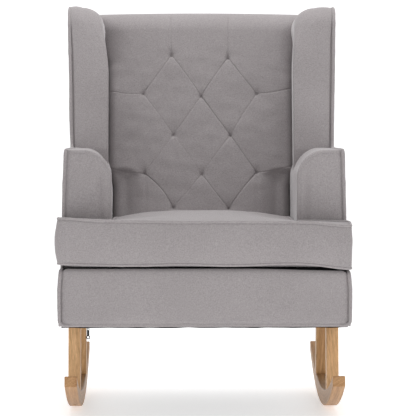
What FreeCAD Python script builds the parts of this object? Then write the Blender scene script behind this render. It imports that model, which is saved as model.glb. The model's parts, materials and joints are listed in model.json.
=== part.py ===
"""Upholstered wingback rocking chair, one STEP file per piece, in millimetres.

Frame: +Z up, the sitter faces -Y, and the sitter's left is +X. The origin is on the floor, where the two
runners touch it when the empty chair is at rest, midway between them.
"""

import FreeCAD, Part
import math
import os

V = FreeCAD.Vector

# ---- Driving dimensions ---------------------------------------------------------------------------------
OVERALL_HEIGHT = 1018.0        # floor to the top of the wings
RUNNER_LENGTH = 860.0          # tip to tip, along Y
RUNNER_ROCK_RADIUS = 1060.0    # radius of the sole that rolls on the floor
RUNNER_MID_HEIGHT = 41.0       # height of the runner at its middle
RUNNER_TIP_TOP = 117.0         # height of the upper edge at the tips
RUNNER_OUTER_X = 333.0
RUNNER_THICKNESS = 30.0
WOOD_EDGE_RADIUS = 2.5

BASE_BOTTOM = 231.0            # underside of the wooden frame
BASE_TOP = 366.0               # upper edge of the front panel
DECK_TOP = 368.0
SEAM_LOW = 380.0               # lower welt of the cushion
SEAM_HIGH = 481.0              # upper welt of the cushion
CUSHION_CROWN = 497.0
ARM_TOP = 650.0
BACK_TOP = 1005.0

HALF_WIDTH_BASE = 350.0        # outside of the side panel at the base
HALF_WIDTH_ARM = 339.0         # and at the top of the arm
HALF_WIDTH_WING = 345.0        # and at the top of the wing
ARM_INNER_X = 232.0
WING_INNER_X = 243.0

FRONT_FACE_Y = -407.0          # front of the base
CUSHION_FRONT_Y = -415.0
ARM_FRONT_Y = -333.0
WING_FRONT_Y = 15.0            # front edge of the wing where it leaves the arm
WING_TOP_Y = 93.0              # and at its top
REAR_BOTTOM_Y = 204.0          # outside of the back, at the underside of the base
RECLINE = 12.0                 # degrees, back from the vertical
BACK_THICKNESS = 116.0         # from the inside back to the outside back, square to them

PANEL = 8.0                    # outer fabric over wadding
PAD = 18.0                     # foam and fabric over a board
BOARD = 15.0
WELT_RADIUS = 3.6
CUSHION_GAP = 2.0
CROWN_RADIUS = 4000.0
CROWN_Y = -140.0               # where the cushion is highest
CROWN_INSET = 2.5              # of the cushion's blank from its welts
LEG_DEPTH = 40.0
DUST_THICKNESS = 1.4

TAN_RECLINE = math.tan(math.radians(RECLINE))
COS_RECLINE = math.cos(math.radians(RECLINE))
BIG = 2000.0
LEFT, RIGHT = 1, -1
SIDES = {LEFT: "left", RIGHT: "right"}

# Tufting of the inside back: rows of two and three by turns, counted down from the top one
TUFT_PITCH_X = 150.0
TUFT_TOP_Z = 886.0
TUFT_ROW_DROP = 99.5
TUFT_ROWS = 5

# Corners of the side silhouette, and the rounded upper edges of the pads
BASE_CORNER_RADIUS = 10.0
ARM_CORNER_RADIUS = 14.0
CROOK_RADIUS = 18.0            # where the arm turns up into the wing
WING_TOP_RADIUS = 60.0
BACK_CORNER_RADIUS = 16.0
ARM_ROUND = 64.0
WING_ROUND = 50.0
BACK_ROUND = 60.0


# ---- Helpers --------------------------------------------------------------------------------------------
def rear_y(z):
    """Y of the outside back's surface at height z."""
    return REAR_BOTTOM_Y + (z - BASE_BOTTOM) * TAN_RECLINE


def back_y(z, depth=0.0):
    """Y at height z of the plane that lies depth behind the inside back's surface, square to it."""
    return rear_y(z) - (BACK_THICKNESS - depth) / COS_RECLINE


def side_x(z, inset=0.0):
    """Half width of the outer side at height z, less an inset."""
    stations = [(0.0, HALF_WIDTH_BASE), (BASE_TOP, HALF_WIDTH_BASE), (ARM_TOP, HALF_WIDTH_ARM),
                (OVERALL_HEIGHT, HALF_WIDTH_WING), (BIG, HALF_WIDTH_WING)]
    for (z0, x0), (z1, x1) in zip(stations, stations[1:]):
        if z <= z1:
            return x0 + (x1 - x0) * (z - z0) / (z1 - z0) - inset
    return HALF_WIDTH_WING - inset


def box(x0, x1, y0, y1, z0, z1):
    return Part.makeBox(x1 - x0, y1 - y0, z1 - z0, V(x0, y0, z0))


def rod(start, end, radius):
    run = end - start
    return Part.makeCylinder(radius, run.Length, start, run)


def rounded_edges(points, closed=True):
    """Straight runs joined by tangent arcs. Each point is (vector, corner radius)."""
    count = len(points)
    ends = []
    for i, (corner, radius) in enumerate(points):
        if radius <= 0 or (not closed and i in (0, count - 1)):
            ends.append((corner, None, corner))
            continue
        towards = (points[i - 1][0] - corner).normalize()
        away = (points[(i + 1) % count][0] - corner).normalize()
        half_turn = towards.getAngle(away) / 2
        reach = radius / math.tan(half_turn)
        bisector = (towards + away).normalize()
        middle = corner + bisector * (radius / math.sin(half_turn) - radius)
        ends.append((corner + towards * reach, middle, corner + away * reach))
    edges = []
    for i in range(count):
        first, middle, last = ends[i]
        if middle is not None:
            edges.append(Part.Arc(first, middle, last).toShape())
        if closed or i < count - 1:
            following = ends[(i + 1) % count][0]
            if (following - last).Length > 1e-6:
                edges.append(Part.LineSegment(last, following).toShape())
    return edges


def prism_x(outline, x0, x1):
    """Solid between x0 and x1 of an outline of (y, z, corner radius)."""
    wire = Part.Wire(rounded_edges([(V(x0, y, z), r) for y, z, r in outline]))
    return Part.Face(wire).extrude(V(x1 - x0, 0, 0))


def prism_y(outline, y0, y1):
    """Solid between y0 and y1 of an outline of (x, z, corner radius)."""
    wire = Part.Wire(rounded_edges([(V(x, y0, z), r) for x, z, r in outline]))
    return Part.Face(wire).extrude(V(0, y1 - y0, 0))


def prism_z(outline, z0, z1):
    """Solid between z0 and z1 of an outline of (x, y, corner radius)."""
    wire = Part.Wire(rounded_edges([(V(x, y, z0), r) for x, y, r in outline]))
    return Part.Face(wire).extrude(V(0, 0, z1 - z0))


def mirrored(outline):
    """An outline of (x, other, radius) for the other side of the chair, kept in the same turning sense."""
    return [(-a, b, r) for a, b, r in reversed(outline)]


def tube(points, radius, closed=False):
    """Round tube along straight runs and tangent arcs."""
    path = Part.Wire(rounded_edges(points, closed))
    start = path.Edges[0].valueAt(path.Edges[0].FirstParameter)
    heading = path.Edges[0].tangentAt(path.Edges[0].FirstParameter)
    profile = Part.Wire(Part.Circle(start, heading, radius).toShape())
    return path.makePipeShell([profile], True, True)


def mirror_image(solid):
    return solid.mirror(V(0, 0, 0), V(1, 0, 0))


def sided(solid, side):
    """The solid itself on the left, or its mirror image on the right."""
    return solid if side == LEFT else mirror_image(solid)


def group(solids):
    return Part.makeCompound(solids)


def save(name, shape):
    shape = shape.removeSplitter() if shape.ShapeType != "Compound" else shape
    shape.exportStep(f"parts/{name}.step")


# ---- Rockers --------------------------------------------------------------------------------------------
def runner_top_z(y):
    half = RUNNER_LENGTH / 2
    rise = RUNNER_TIP_TOP - RUNNER_MID_HEIGHT
    radius = (half ** 2 + rise ** 2) / (2 * rise)
    return RUNNER_MID_HEIGHT + radius - math.sqrt(radius ** 2 - y ** 2)


def runner_sole_z(y):
    return RUNNER_ROCK_RADIUS - math.sqrt(RUNNER_ROCK_RADIUS ** 2 - y ** 2)


def runner_blank(x0, x1):
    """Crescent between the rolling sole and the flatter upper edge."""
    tip = RUNNER_LENGTH / 2
    low, high = runner_sole_z(tip), RUNNER_TIP_TOP
    sole = Part.Arc(V(x0, -tip, low), V(x0, 0, 0), V(x0, tip, low)).toShape()
    rear = Part.LineSegment(V(x0, tip, low), V(x0, tip, high)).toShape()
    upper = Part.Arc(V(x0, tip, high), V(x0, 0, RUNNER_MID_HEIGHT), V(x0, -tip, high)).toShape()
    front = Part.LineSegment(V(x0, -tip, high), V(x0, -tip, low)).toShape()
    return Part.Face(Part.Wire([sole, rear, upper, front])).extrude(V(x1 - x0, 0, 0))


FRONT_LEG = {"foot_y": -208.0, "head_y": -186.0}
REAR_LEG = {"foot_y": 196.0, "head_y": 175.0}
LEG_HEAD_Z = BASE_BOTTOM - DUST_THICKNESS
LEG_X = RUNNER_OUTER_X - RUNNER_THICKNESS / 2
FOOT_REFERENCE_Z = 60.0
SCREW_OFFSET_Y = -9.0
DOWEL_OFFSET_Y = 10.0
RAIL_TOP_Z = BASE_BOTTOM + 66.0

SCREW_HEAD_DEPTH = 13.0        # from the runner's sole up to the screw's seat
SCREW_HEAD_HEIGHT = 4.0
SCREW_HEAD_RADIUS = 5.5
SCREW_RADIUS = 3.0
SCREW_LENGTH = 58.0
COUNTERBORE_RADIUS = 6.0
DOWEL_RADIUS = 4.0
DOWEL_LENGTH = 40.0
DOWEL_IN_RUNNER = 18.0
BOLT_RADIUS = 4.0
BOLT_IN_LEG = 40.0
BOLT_ABOVE_RAIL = 14.0
NUT_RADIUS = 7.5
NUT_HEIGHT = 6.5
WASHER_RADIUS = 9.0
WASHER_HEIGHT = 1.6


def leg(place):
    """Slightly raked leg whose foot is cut to sit on the runner's upper edge."""
    x0, x1 = RUNNER_OUTER_X - RUNNER_THICKNESS, RUNNER_OUTER_X
    half = LEG_DEPTH / 2
    rake = (place["head_y"] - place["foot_y"]) / (LEG_HEAD_Z - FOOT_REFERENCE_Z)
    low_y = place["foot_y"] - rake * FOOT_REFERENCE_Z
    outline = [(low_y - half, 0, 0), (low_y + half, 0, 0),
               (place["head_y"] + half, LEG_HEAD_Z, 0), (place["head_y"] - half, LEG_HEAD_Z, 0)]
    solid = prism_x(outline, x0, x1)
    solid = solid.makeFillet(WOOD_EDGE_RADIUS, upright_edges(solid))
    return solid.cut(below_runner_top(x0 - 1, x1 + 1))


def upright_edges(solid):
    return [e for e in solid.Edges if e.BoundBox.ZLength > LEG_HEAD_Z / 2]


def below_runner_top(x0, x1):
    """Everything under the curve of the runner's upper edge."""
    tip = RUNNER_LENGTH / 2
    upper = Part.Arc(V(x0, -tip, RUNNER_TIP_TOP), V(x0, 0, RUNNER_MID_HEIGHT), V(x0, tip, RUNNER_TIP_TOP))
    rest = [Part.LineSegment(V(x0, tip, RUNNER_TIP_TOP), V(x0, tip, -BIG)),
            Part.LineSegment(V(x0, tip, -BIG), V(x0, -tip, -BIG)),
            Part.LineSegment(V(x0, -tip, -BIG), V(x0, -tip, RUNNER_TIP_TOP))]
    face = Part.Face(Part.Wire([upper.toShape()] + [s.toShape() for s in rest]))
    return face.extrude(V(x1 - x0, 0, 0))


def runner_screw(y):
    """Countersunk screw driven up through the runner into the leg, and the hole it needs."""
    seat_z = runner_sole_z(y) + SCREW_HEAD_DEPTH
    seat = V(LEG_X, y, seat_z)
    head = Part.makeCone(SCREW_RADIUS, SCREW_HEAD_RADIUS, SCREW_HEAD_HEIGHT, seat, V(0, 0, -1))
    shank = rod(seat, V(LEG_X, y, seat_z + SCREW_LENGTH), SCREW_RADIUS)
    screw = head.fuse(shank).removeSplitter()
    mouth = V(LEG_X, y, runner_sole_z(y) - RUNNER_THICKNESS)
    counterbore = rod(V(LEG_X, y, seat_z - SCREW_HEAD_HEIGHT), mouth, COUNTERBORE_RADIUS)
    return screw, group([screw, counterbore])


def dowel(y):
    z0 = runner_top_z(y) - DOWEL_IN_RUNNER
    return rod(V(LEG_X, y, z0), V(LEG_X, y, z0 + DOWEL_LENGTH), DOWEL_RADIUS)


def hanger_bolt(place):
    """Bolt that stands out of the leg's head, up through the side rail."""
    low, high = LEG_HEAD_Z - BOLT_IN_LEG, RAIL_TOP_Z + BOLT_ABOVE_RAIL
    return rod(V(LEG_X, place["head_y"], low), V(LEG_X, place["head_y"], high), BOLT_RADIUS)


def hex_nut(place):
    centre = V(LEG_X, place["head_y"], RAIL_TOP_Z + WASHER_HEIGHT)
    turns = [math.radians(a) for a in range(0, 361, 60)]
    corners = [centre + V(NUT_RADIUS * math.cos(t), NUT_RADIUS * math.sin(t), 0) for t in turns]
    blank = Part.Face(Part.makePolygon(corners)).extrude(V(0, 0, NUT_HEIGHT))
    return blank.cut(hanger_bolt(place))


def washer(place):
    low = V(LEG_X, place["head_y"], RAIL_TOP_Z)
    ring = rod(low, low + V(0, 0, WASHER_HEIGHT), WASHER_RADIUS)
    return ring.cut(hanger_bolt(place))


def build_rockers():
    dowels, screws, bolts, nuts, washers = [], [], [], [], []
    x0, x1 = RUNNER_OUTER_X - RUNNER_THICKNESS, RUNNER_OUTER_X
    runner = runner_blank(x0, x1)
    runner = runner.makeFillet(WOOD_EDGE_RADIUS, runner.Edges)
    places = {"front_leg": FRONT_LEG, "rear_leg": REAR_LEG}
    legs = {}
    for name, place in places.items():
        screw, screw_hole = runner_screw(place["foot_y"] + SCREW_OFFSET_Y)
        pin = dowel(place["foot_y"] + DOWEL_OFFSET_Y)
        bolt = hanger_bolt(place)
        runner = runner.cut(screw_hole).cut(pin)
        legs[name] = leg(place).cut(screw).cut(pin).cut(bolt)
        dowels.append(pin)
        screws.append(screw)
        bolts.append(bolt)
        nuts.append(hex_nut(place))
        washers.append(washer(place))
    for side, word in SIDES.items():
        save(f"rocker_runner_{word}", sided(runner, side))
        for name, solid in legs.items():
            save(f"{name}_{word}", sided(solid, side))
    for name, solids in {"leg_dowels": dowels, "runner_screws": screws, "leg_bolts": bolts,
                         "leg_nuts": nuts, "leg_washers": washers}.items():
        save(name, group([sided(s, side) for side in SIDES for s in solids]))


# ---- Wooden frame ---------------------------------------------------------------------------------------
PLY_X0, PLY_X1 = 285.0, 300.0
RAIL_THICKNESS = 22.0
RAIL_HIGH_Z = 354.0
FRONT_RAIL_Y = -391.0
REAR_RAIL_Y = 124.0
ARM_BOARD_Y = ARM_FRONT_Y + PAD
POST_DEPTH_0, POST_DEPTH_1 = 60.0, 110.0      # front and rear of the back posts, behind the inside back
POST_WIDTH = 45.0
POST_X0 = PLY_X0 - POST_WIDTH
TOP_RAIL_DEPTH, LOW_RAIL_DEPTH = 30.0, 25.0
TOP_RAIL_HEIGHT = 70.0
LOW_RAIL_Z0, LOW_RAIL_Z1 = 385.0, 445.0

# Weight-saving openings in the plywood sides, as (y, z) corners
ARM_HOLE = [(-250, 410), (-250, 575), (45, 575), (45, 410)]
WING_HOLE = [(85, 640), (135, 930), (200, 930), (140, 640)]
HOLE_RADIUS = 22.0
SPANNER_HOLE_HALF, SPANNER_HOLE_HEIGHT = 28.0, 42.0
FRAME_MAX_RADIUS = 30.0

BLOCK_REACH, BLOCK_HEIGHT, BLOCK_DROP = 70.0, 50.0, 95.0
ARM_TOP_BOARD_INSET = 50.0     # from the arm's inner face
ARM_TOP_BOARD_OVERHANG = 40.0  # past the front of the wing
BOARD_COVER = 15.0             # foam and fabric beside the arm's boards
WEBBING = 2.0
STRAP_WIDTH, STRAP_PITCH, STRAP_LOW_Z, STRAP_COUNT = 50, 90, 470, 6
STRAP_HALF_LENGTH = PLY_X0 - 20.0
LINER = 3.0
LINER_TOP = 590.0

SPRING_XS = [-200, -100, 0, 100, 200]
SPRING_WIRE_RADIUS = 1.9
SPRING_LOOP_RADIUS = 9.0
SPRING_REACH = 15.0            # half the width of the zigzag's straight bars
SPRING_DROP = 5.0              # of the wire's centre below the rails' upper edges
SPRING_END_GAP = 12.0
CLIP_HALF_WIDTH, CLIP_STEEL = 8.0, 1.2
CLIP_ON_RAIL, CLIP_OVERHANG, CLIP_LIP = 14.0, 16.0, 9.0


def side_outline(inset):
    """Side silhouette of base, arm and wing as (y, z, radius), drawn in from the upholstered edge."""
    rear_top = BACK_TOP - inset
    base_top = BASE_TOP - min(inset, BASE_TOP - RAIL_HIGH_Z)
    base_radius = BASE_CORNER_RADIUS if inset == 0 else 0
    return [
        (FRONT_FACE_Y + inset, BASE_BOTTOM, 0),
        (FRONT_FACE_Y + inset, base_top, base_radius),
        (ARM_FRONT_Y + inset, base_top, 0),
        (ARM_FRONT_Y + inset, ARM_TOP - inset, ARM_CORNER_RADIUS),
        (WING_FRONT_Y + inset, ARM_TOP - inset, CROOK_RADIUS),
        (WING_TOP_Y + inset, OVERALL_HEIGHT - inset, WING_TOP_RADIUS),
        (rear_y(rear_top) - inset, rear_top, BACK_CORNER_RADIUS),
        (rear_y(BASE_BOTTOM) - inset, BASE_BOTTOM, 0),
    ]


def side_frame():
    """Plywood side: one board from the base to the top of the wing, with weight-saving openings."""
    inset = PAD + BOARD
    outline = [(y, z, min(r, FRAME_MAX_RADIUS)) for y, z, r in side_outline(inset)]
    board = prism_x(outline, PLY_X0, PLY_X1)
    behind_front = FRONT_RAIL_Y + RAIL_THICKNESS
    board = board.common(box(0, BIG, behind_front, BIG, 0, BIG))
    front = box(PLY_X0, PLY_X1, behind_front, ARM_FRONT_Y + inset, BASE_BOTTOM, RAIL_HIGH_Z)
    board = board.fuse(front).removeSplitter()
    for hole in (ARM_HOLE, WING_HOLE):
        board = board.cut(prism_x([(y, z, HOLE_RADIUS) for y, z in hole], PLY_X0 - 1, PLY_X1 + 1))
    for place in (FRONT_LEG, REAR_LEG):
        y0, y1 = place["head_y"] - SPANNER_HOLE_HALF, place["head_y"] + SPANNER_HOLE_HALF
        board = board.cut(box(PLY_X0 - 1, PLY_X1 + 1, y0, y1, RAIL_TOP_Z, RAIL_TOP_Z + SPANNER_HOLE_HEIGHT))
    return board.cut(arm_boards()[1]).cut(wing_front_board())


def seat_rails():
    behind_front = FRONT_RAIL_Y + RAIL_THICKNESS
    front = box(-RUNNER_OUTER_X, RUNNER_OUTER_X, FRONT_RAIL_Y, behind_front, BASE_BOTTOM, RAIL_HIGH_Z)
    rear = box(-PLY_X0, PLY_X0, REAR_RAIL_Y, REAR_RAIL_Y + RAIL_THICKNESS, BASE_BOTTOM, RAIL_HIGH_Z)
    side = box(PLY_X1, RUNNER_OUTER_X, behind_front, REAR_BOTTOM_Y - PANEL, BASE_BOTTOM, RAIL_TOP_Z)
    for place in (FRONT_LEG, REAR_LEG):
        side = side.cut(hanger_bolt(place))
    return front, rear, side


def corner_blocks():
    """Glued triangular blocks in the corners of the seat frame."""
    blocks = []
    for side in SIDES:
        for y, turn in ((FRONT_RAIL_Y + RAIL_THICKNESS, 1), (REAR_RAIL_Y, -1)):
            corner = V(side * PLY_X0, y, RAIL_HIGH_Z - BLOCK_DROP)
            across, along = V(-side * BLOCK_REACH, 0, 0), V(0, turn * BLOCK_REACH, 0)
            triangle = Part.makePolygon([corner, corner + across, corner + along, corner])
            blocks.append(Part.Face(triangle).extrude(V(0, 0, BLOCK_HEIGHT)))
    return group(blocks)


def arm_section(inset):
    """Cross-section of the arm as (x, z, radius): flat outside, big round on the inner upper corner."""
    return [(ARM_INNER_X + inset, DECK_TOP, 0),
            (ARM_INNER_X + inset, ARM_TOP - inset, ARM_ROUND - inset),
            (side_x(ARM_TOP, PANEL) - inset, ARM_TOP - inset, 0),
            (side_x(DECK_TOP, PANEL) - inset, DECK_TOP, 0)]


def wing_section(inset):
    """Cross-section of the wing, as the arm's."""
    top = OVERALL_HEIGHT - inset
    return [(WING_INNER_X + inset, ARM_TOP, 0), (WING_INNER_X + inset, top, WING_ROUND - inset),
            (side_x(top, PANEL) - inset, top, 0), (side_x(ARM_TOP, PANEL) - inset, ARM_TOP, 0)]


def arm_liner():
    """Hardboard behind the foam of the arm's inner face."""
    x0 = ARM_INNER_X + PAD
    sheet = box(x0, x0 + LINER, ARM_BOARD_Y + BOARD, BIG, DECK_TOP, LINER_TOP)
    return sheet.common(in_front_of_back(POST_DEPTH_0 - WEBBING))


def arm_hollow():
    """Air inside the arm, between its liner, its boards and the outer panel."""
    x0 = ARM_INNER_X + PAD + LINER
    under_board = ARM_TOP - PAD - BOARD
    section = [(x0, DECK_TOP - 1, 0), (x0, LINER_TOP, 0), (ARM_INNER_X + ARM_TOP_BOARD_INSET, under_board, 0),
               (PLY_X0, under_board, 0), (PLY_X0, DECK_TOP - 1, 0)]
    return prism_y(section, ARM_BOARD_Y + BOARD, BIG)


def outer_hollow():
    """Air outside the plywood, behind the outer panel."""
    return prism_x(side_outline(PAD + BOARD), PLY_X0, BIG)


def arm_boards():
    """Front and top boards inside the arm."""
    front = prism_y(arm_section(BOARD_COVER), ARM_BOARD_Y, ARM_BOARD_Y + BOARD)
    x0, x1 = ARM_INNER_X + ARM_TOP_BOARD_INSET, side_x(ARM_TOP, PANEL) - BOARD_COVER
    y0, y1 = ARM_BOARD_Y + BOARD, WING_FRONT_Y + ARM_TOP_BOARD_OVERHANG
    return front, box(x0, x1, y0, y1, ARM_TOP - PAD - BOARD, ARM_TOP - PAD)


def wing_front_board():
    """Bent board that carries the front face of the wing."""
    outer = prism_x(side_outline(PAD), WING_INNER_X + PAD, side_x(ARM_TOP, PANEL) - PAD)
    inner = prism_x(side_outline(PAD + BOARD), 0, BIG)
    window = prism_x([(WING_FRONT_Y - 40, ARM_TOP + 30, 0), (WING_TOP_Y - 40, BIG, 0),
                      (WING_TOP_Y + 75, BIG, 0), (WING_TOP_Y + 75, ARM_TOP + 30, 0)], 0, BIG)
    rounded = prism_y(wing_section(PAD), 0, BIG)
    return outer.cut(inner).common(window).common(rounded)


def back_slab(depth_0, depth_1, x0, x1, z0, z1):
    """Slab parallel to the inside back, between two depths behind it, cut level at z0 and z1."""
    outline = [(back_y(z0, depth_0), z0, 0), (back_y(z1, depth_0), z1, 0),
               (back_y(z1, depth_1), z1, 0), (back_y(z0, depth_1), z0, 0)]
    return prism_x(outline, x0, x1)


def back_frame():
    """Post of the left side, and the rails between the two posts."""
    top_z = BACK_TOP - PAD
    post = back_slab(POST_DEPTH_0, POST_DEPTH_1, POST_X0, PLY_X0, BASE_BOTTOM, top_z)
    top_rail = back_slab(POST_DEPTH_0, POST_DEPTH_0 + TOP_RAIL_DEPTH, -POST_X0, POST_X0,
                         top_z - TOP_RAIL_HEIGHT, top_z)
    low_rail = back_slab(POST_DEPTH_0, POST_DEPTH_0 + LOW_RAIL_DEPTH, -POST_X0, POST_X0,
                         LOW_RAIL_Z0, LOW_RAIL_Z1)
    return post, top_rail, low_rail


def back_webbing():
    """Elastic straps stapled across the front of the back posts."""
    heights = [STRAP_LOW_Z + i * STRAP_PITCH for i in range(STRAP_COUNT)]
    front = POST_DEPTH_0 - WEBBING
    straps = [back_slab(front, POST_DEPTH_0, -STRAP_HALF_LENGTH, STRAP_HALF_LENGTH, z, z + STRAP_WIDTH)
              for z in heights]
    return group(straps)


def sinuous_spring(x):
    """Zigzag seat spring from the front rail to the rear rail."""
    reach, z = SPRING_REACH, RAIL_HIGH_Z - SPRING_DROP
    y0, y1 = FRONT_RAIL_Y + RAIL_THICKNESS + SPRING_END_GAP, REAR_RAIL_Y - SPRING_END_GAP
    loops = int((y1 - y0) // (2 * SPRING_LOOP_RADIUS))
    pitch = (y1 - y0) / loops
    bend = pitch / 2
    edges, sense = [], 1
    at = V(x - sense * reach, y0, z)
    for _ in range(loops):
        turn = V(x + sense * reach, at.y, z)
        edges.append(Part.LineSegment(at, turn).toShape())
        out = V(turn.x + sense * bend, turn.y + bend, z)
        at = V(turn.x, turn.y + pitch, z)
        edges.append(Part.Arc(turn, out, at).toShape())
        sense = -sense
    edges.append(Part.LineSegment(at, V(x + sense * reach, at.y, z)).toShape())
    path = Part.Wire(edges)
    profile = Part.Wire(Part.Circle(path.Vertexes[0].Point, V(1, 0, 0), SPRING_WIRE_RADIUS).toShape())
    return path.makePipeShell([profile], True, True)


def spring_clip(x, rail_face_y, into):
    """Folded steel clip on a rail that holds the last bar of a spring."""
    x0, x1, z = x - CLIP_HALF_WIDTH, x + CLIP_HALF_WIDTH, RAIL_HIGH_Z
    far = rail_face_y + into * CLIP_OVERHANG
    plate_y = sorted((rail_face_y - into * CLIP_ON_RAIL, far))
    lip_y = sorted((far, far - into * CLIP_STEEL))
    plate = box(x0, x1, *plate_y, z, z + CLIP_STEEL)
    lip = box(x0, x1, *lip_y, z - CLIP_LIP, z)
    return plate.fuse(lip).removeSplitter()


def build_frame():
    """Saves the frame's pieces, and returns them by name, for the pads to be cut to fit."""
    made = {}
    front, rear, side_rail = seat_rails()
    front_board, top_board = arm_boards()
    post, top_rail, low_rail = back_frame()
    made["seat_front_rail"], made["seat_rear_rail"] = front, rear
    made["back_top_rail"], made["back_lower_rail"] = top_rail, low_rail
    made["corner_blocks"] = corner_blocks()
    made["back_webbing"] = back_webbing()
    made["seat_springs"] = group([sinuous_spring(x) for x in SPRING_XS])
    ends = ((FRONT_RAIL_Y + RAIL_THICKNESS, 1), (REAR_RAIL_Y, -1))
    made["spring_clips"] = group([spring_clip(x, y, into) for x in SPRING_XS for y, into in ends])
    paired = {"seat_side_rail": side_rail, "side_frame": side_frame(), "arm_front_board": front_board,
              "arm_top_board": top_board, "arm_liner": arm_liner(), "wing_front_board": wing_front_board(),
              "back_post": post}
    for name, solid in paired.items():
        for side, word in SIDES.items():
            made[f"{name}_{word}"] = sided(solid, side)
    for name, shape in made.items():
        save(name, shape)
    return made


# ---- Upholstery -----------------------------------------------------------------------------------------
HIGH_Z = 1200.0                # above every part of the chair
TIE_FRONT_DEPTH = 10.0
TIE_RADIUS = 1.5


def in_front_of_back(depth):
    """Half space in front of the plane that lies depth behind the inside back."""
    z0, z1 = 0.0, HIGH_Z
    outline = [(-BIG, z0, 0), (-BIG, z1, 0), (back_y(z1, depth), z1, 0), (back_y(z0, depth), z0, 0)]
    return prism_x(outline, -BIG, BIG)


def side_slab(inner, outer):
    """Sheet that follows the lean of the outer side, between two insets from it."""
    heights = [0.0, BASE_TOP, ARM_TOP, OVERALL_HEIGHT, HIGH_Z]
    line = [(side_x(z, inner), z, 0) for z in heights] + [(side_x(z, outer), z, 0) for z in reversed(heights)]
    return prism_y(line, -BIG, BIG)


def welt_path(side):
    """Run of the side welt: up the base, under the cushion's ear, up the arm, over the wing, down the back."""
    def at(y, z, radius):
        return V(side * side_x(z, PANEL / 2), y, z), radius
    low, shelf, arm_top = BASE_BOTTOM + 1, BASE_TOP - 2, ARM_TOP + 1
    front, arm_y = FRONT_FACE_Y - 1, ARM_FRONT_Y - 2.5
    return [at(front, low, 0), at(front, shelf, BASE_CORNER_RADIUS), at(arm_y, shelf, 6),
            at(arm_y, arm_top, ARM_CORNER_RADIUS), at(WING_FRONT_Y - 2.5, arm_top, CROOK_RADIUS),
            at(WING_TOP_Y - 2.5, OVERALL_HEIGHT - 3, WING_TOP_RADIUS),
            at(rear_y(BACK_TOP), BACK_TOP - 1, BACK_CORNER_RADIUS), at(rear_y(BASE_BOTTOM), low, 0)]


def build_sides(frame):
    """Arm pads, wing pads, outer panels and their welts: made for the right, and mirrored for the left.
    Returns the envelopes of both sides as one shape."""
    silhouette = prism_x(side_outline(0), -BIG, BIG)
    clear = in_front_of_back(POST_DEPTH_1)
    arm = sided(prism_y(arm_section(0), ARM_FRONT_Y, BIG), RIGHT).common(clear).common(silhouette)
    wing = sided(prism_y(wing_section(0), -BIG, BIG), RIGHT).common(clear).common(silhouette)
    panel = sided(side_slab(PANEL, 0), RIGHT).common(silhouette)
    welt = tube(welt_path(RIGHT), WELT_RADIUS)
    taken = [sided(arm_hollow(), RIGHT), sided(outer_hollow(), RIGHT), group(list(frame.values())), welt]
    pieces = {"arm_pad": biggest(arm.cut(taken)), "wing_pad": biggest(wing.cut(taken)),
              "side_panel": panel.cut(welt), "side_welt": welt}
    for name, solid in pieces.items():
        save(f"{name}_right", solid)
        save(f"{name}_left", mirror_image(solid))
    envelope = group([arm, wing, panel, welt])
    return group([envelope, mirror_image(envelope)])


def tuft_places():
    """(x, z) of each tuft: rows of two and three by turns."""
    places = []
    for row in range(TUFT_ROWS):
        xs = (-0.5, 0.5) if row % 2 == 0 else (-1, 0, 1)
        places += [(x * TUFT_PITCH_X, TUFT_TOP_Z - row * TUFT_ROW_DROP) for x in xs]
    return places


def tuft_ties():
    """Twine from behind each tuft through the foam to the straps."""
    ties = []
    for x, z in tuft_places():
        front, back = back_y(z, TIE_FRONT_DEPTH), back_y(z, POST_DEPTH_0 - WEBBING - 1)
        ties.append(rod(V(x, front, z), V(x, back, z), TIE_RADIUS))
    return group(ties)


def inside_back_pad(frame, sides, ties):
    """Foam and cover of the back, rounded over its upper edge and hollow between the posts."""
    half = WING_INNER_X - 1
    wide = back_slab(0, POST_DEPTH_1, -half, half, DECK_TOP, BACK_TOP)
    axis = V(-BIG / 2, back_y(BACK_TOP, BACK_ROUND), BACK_TOP - BACK_ROUND)
    crown = Part.makeCylinder(BACK_ROUND, BIG, axis, V(1, 0, 0))
    square = back_slab(-5, BACK_ROUND, -BIG, BIG, BACK_TOP - BACK_ROUND, BACK_TOP + 1)
    under_rail = BACK_TOP - PAD - TOP_RAIL_HEIGHT
    hollow = back_slab(POST_DEPTH_0 - WEBBING, POST_DEPTH_1 + 1, -POST_X0, POST_X0, DECK_TOP - 1, under_rail)
    pad = wide.cut(square.cut(crown)).cut(sides).cut(group(list(frame.values()))).cut(ties)
    return biggest(pad.cut(hollow))


def outside_back_panel(sides):
    sheet = back_slab(POST_DEPTH_1, BACK_THICKNESS, -BIG, BIG, BASE_BOTTOM, BACK_TOP - 4)
    edge = [(side_x(z, PANEL), z, 0) for z in (BASE_BOTTOM, BASE_TOP, ARM_TOP, BACK_TOP)]
    return sheet.common(prism_y(edge + mirrored(edge), -BIG, BIG)).cut(sides)


def build_back(frame, sides):
    ties = tuft_ties()
    save("tuft_ties", ties)
    save("inside_back_pad", inside_back_pad(frame, sides, ties))
    save("outside_back_panel", outside_back_panel(sides))


def biggest(shape):
    """The main solid, without the slivers that a cut leaves."""
    return max(shape.Solids, key=lambda s: s.Volume)


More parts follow.
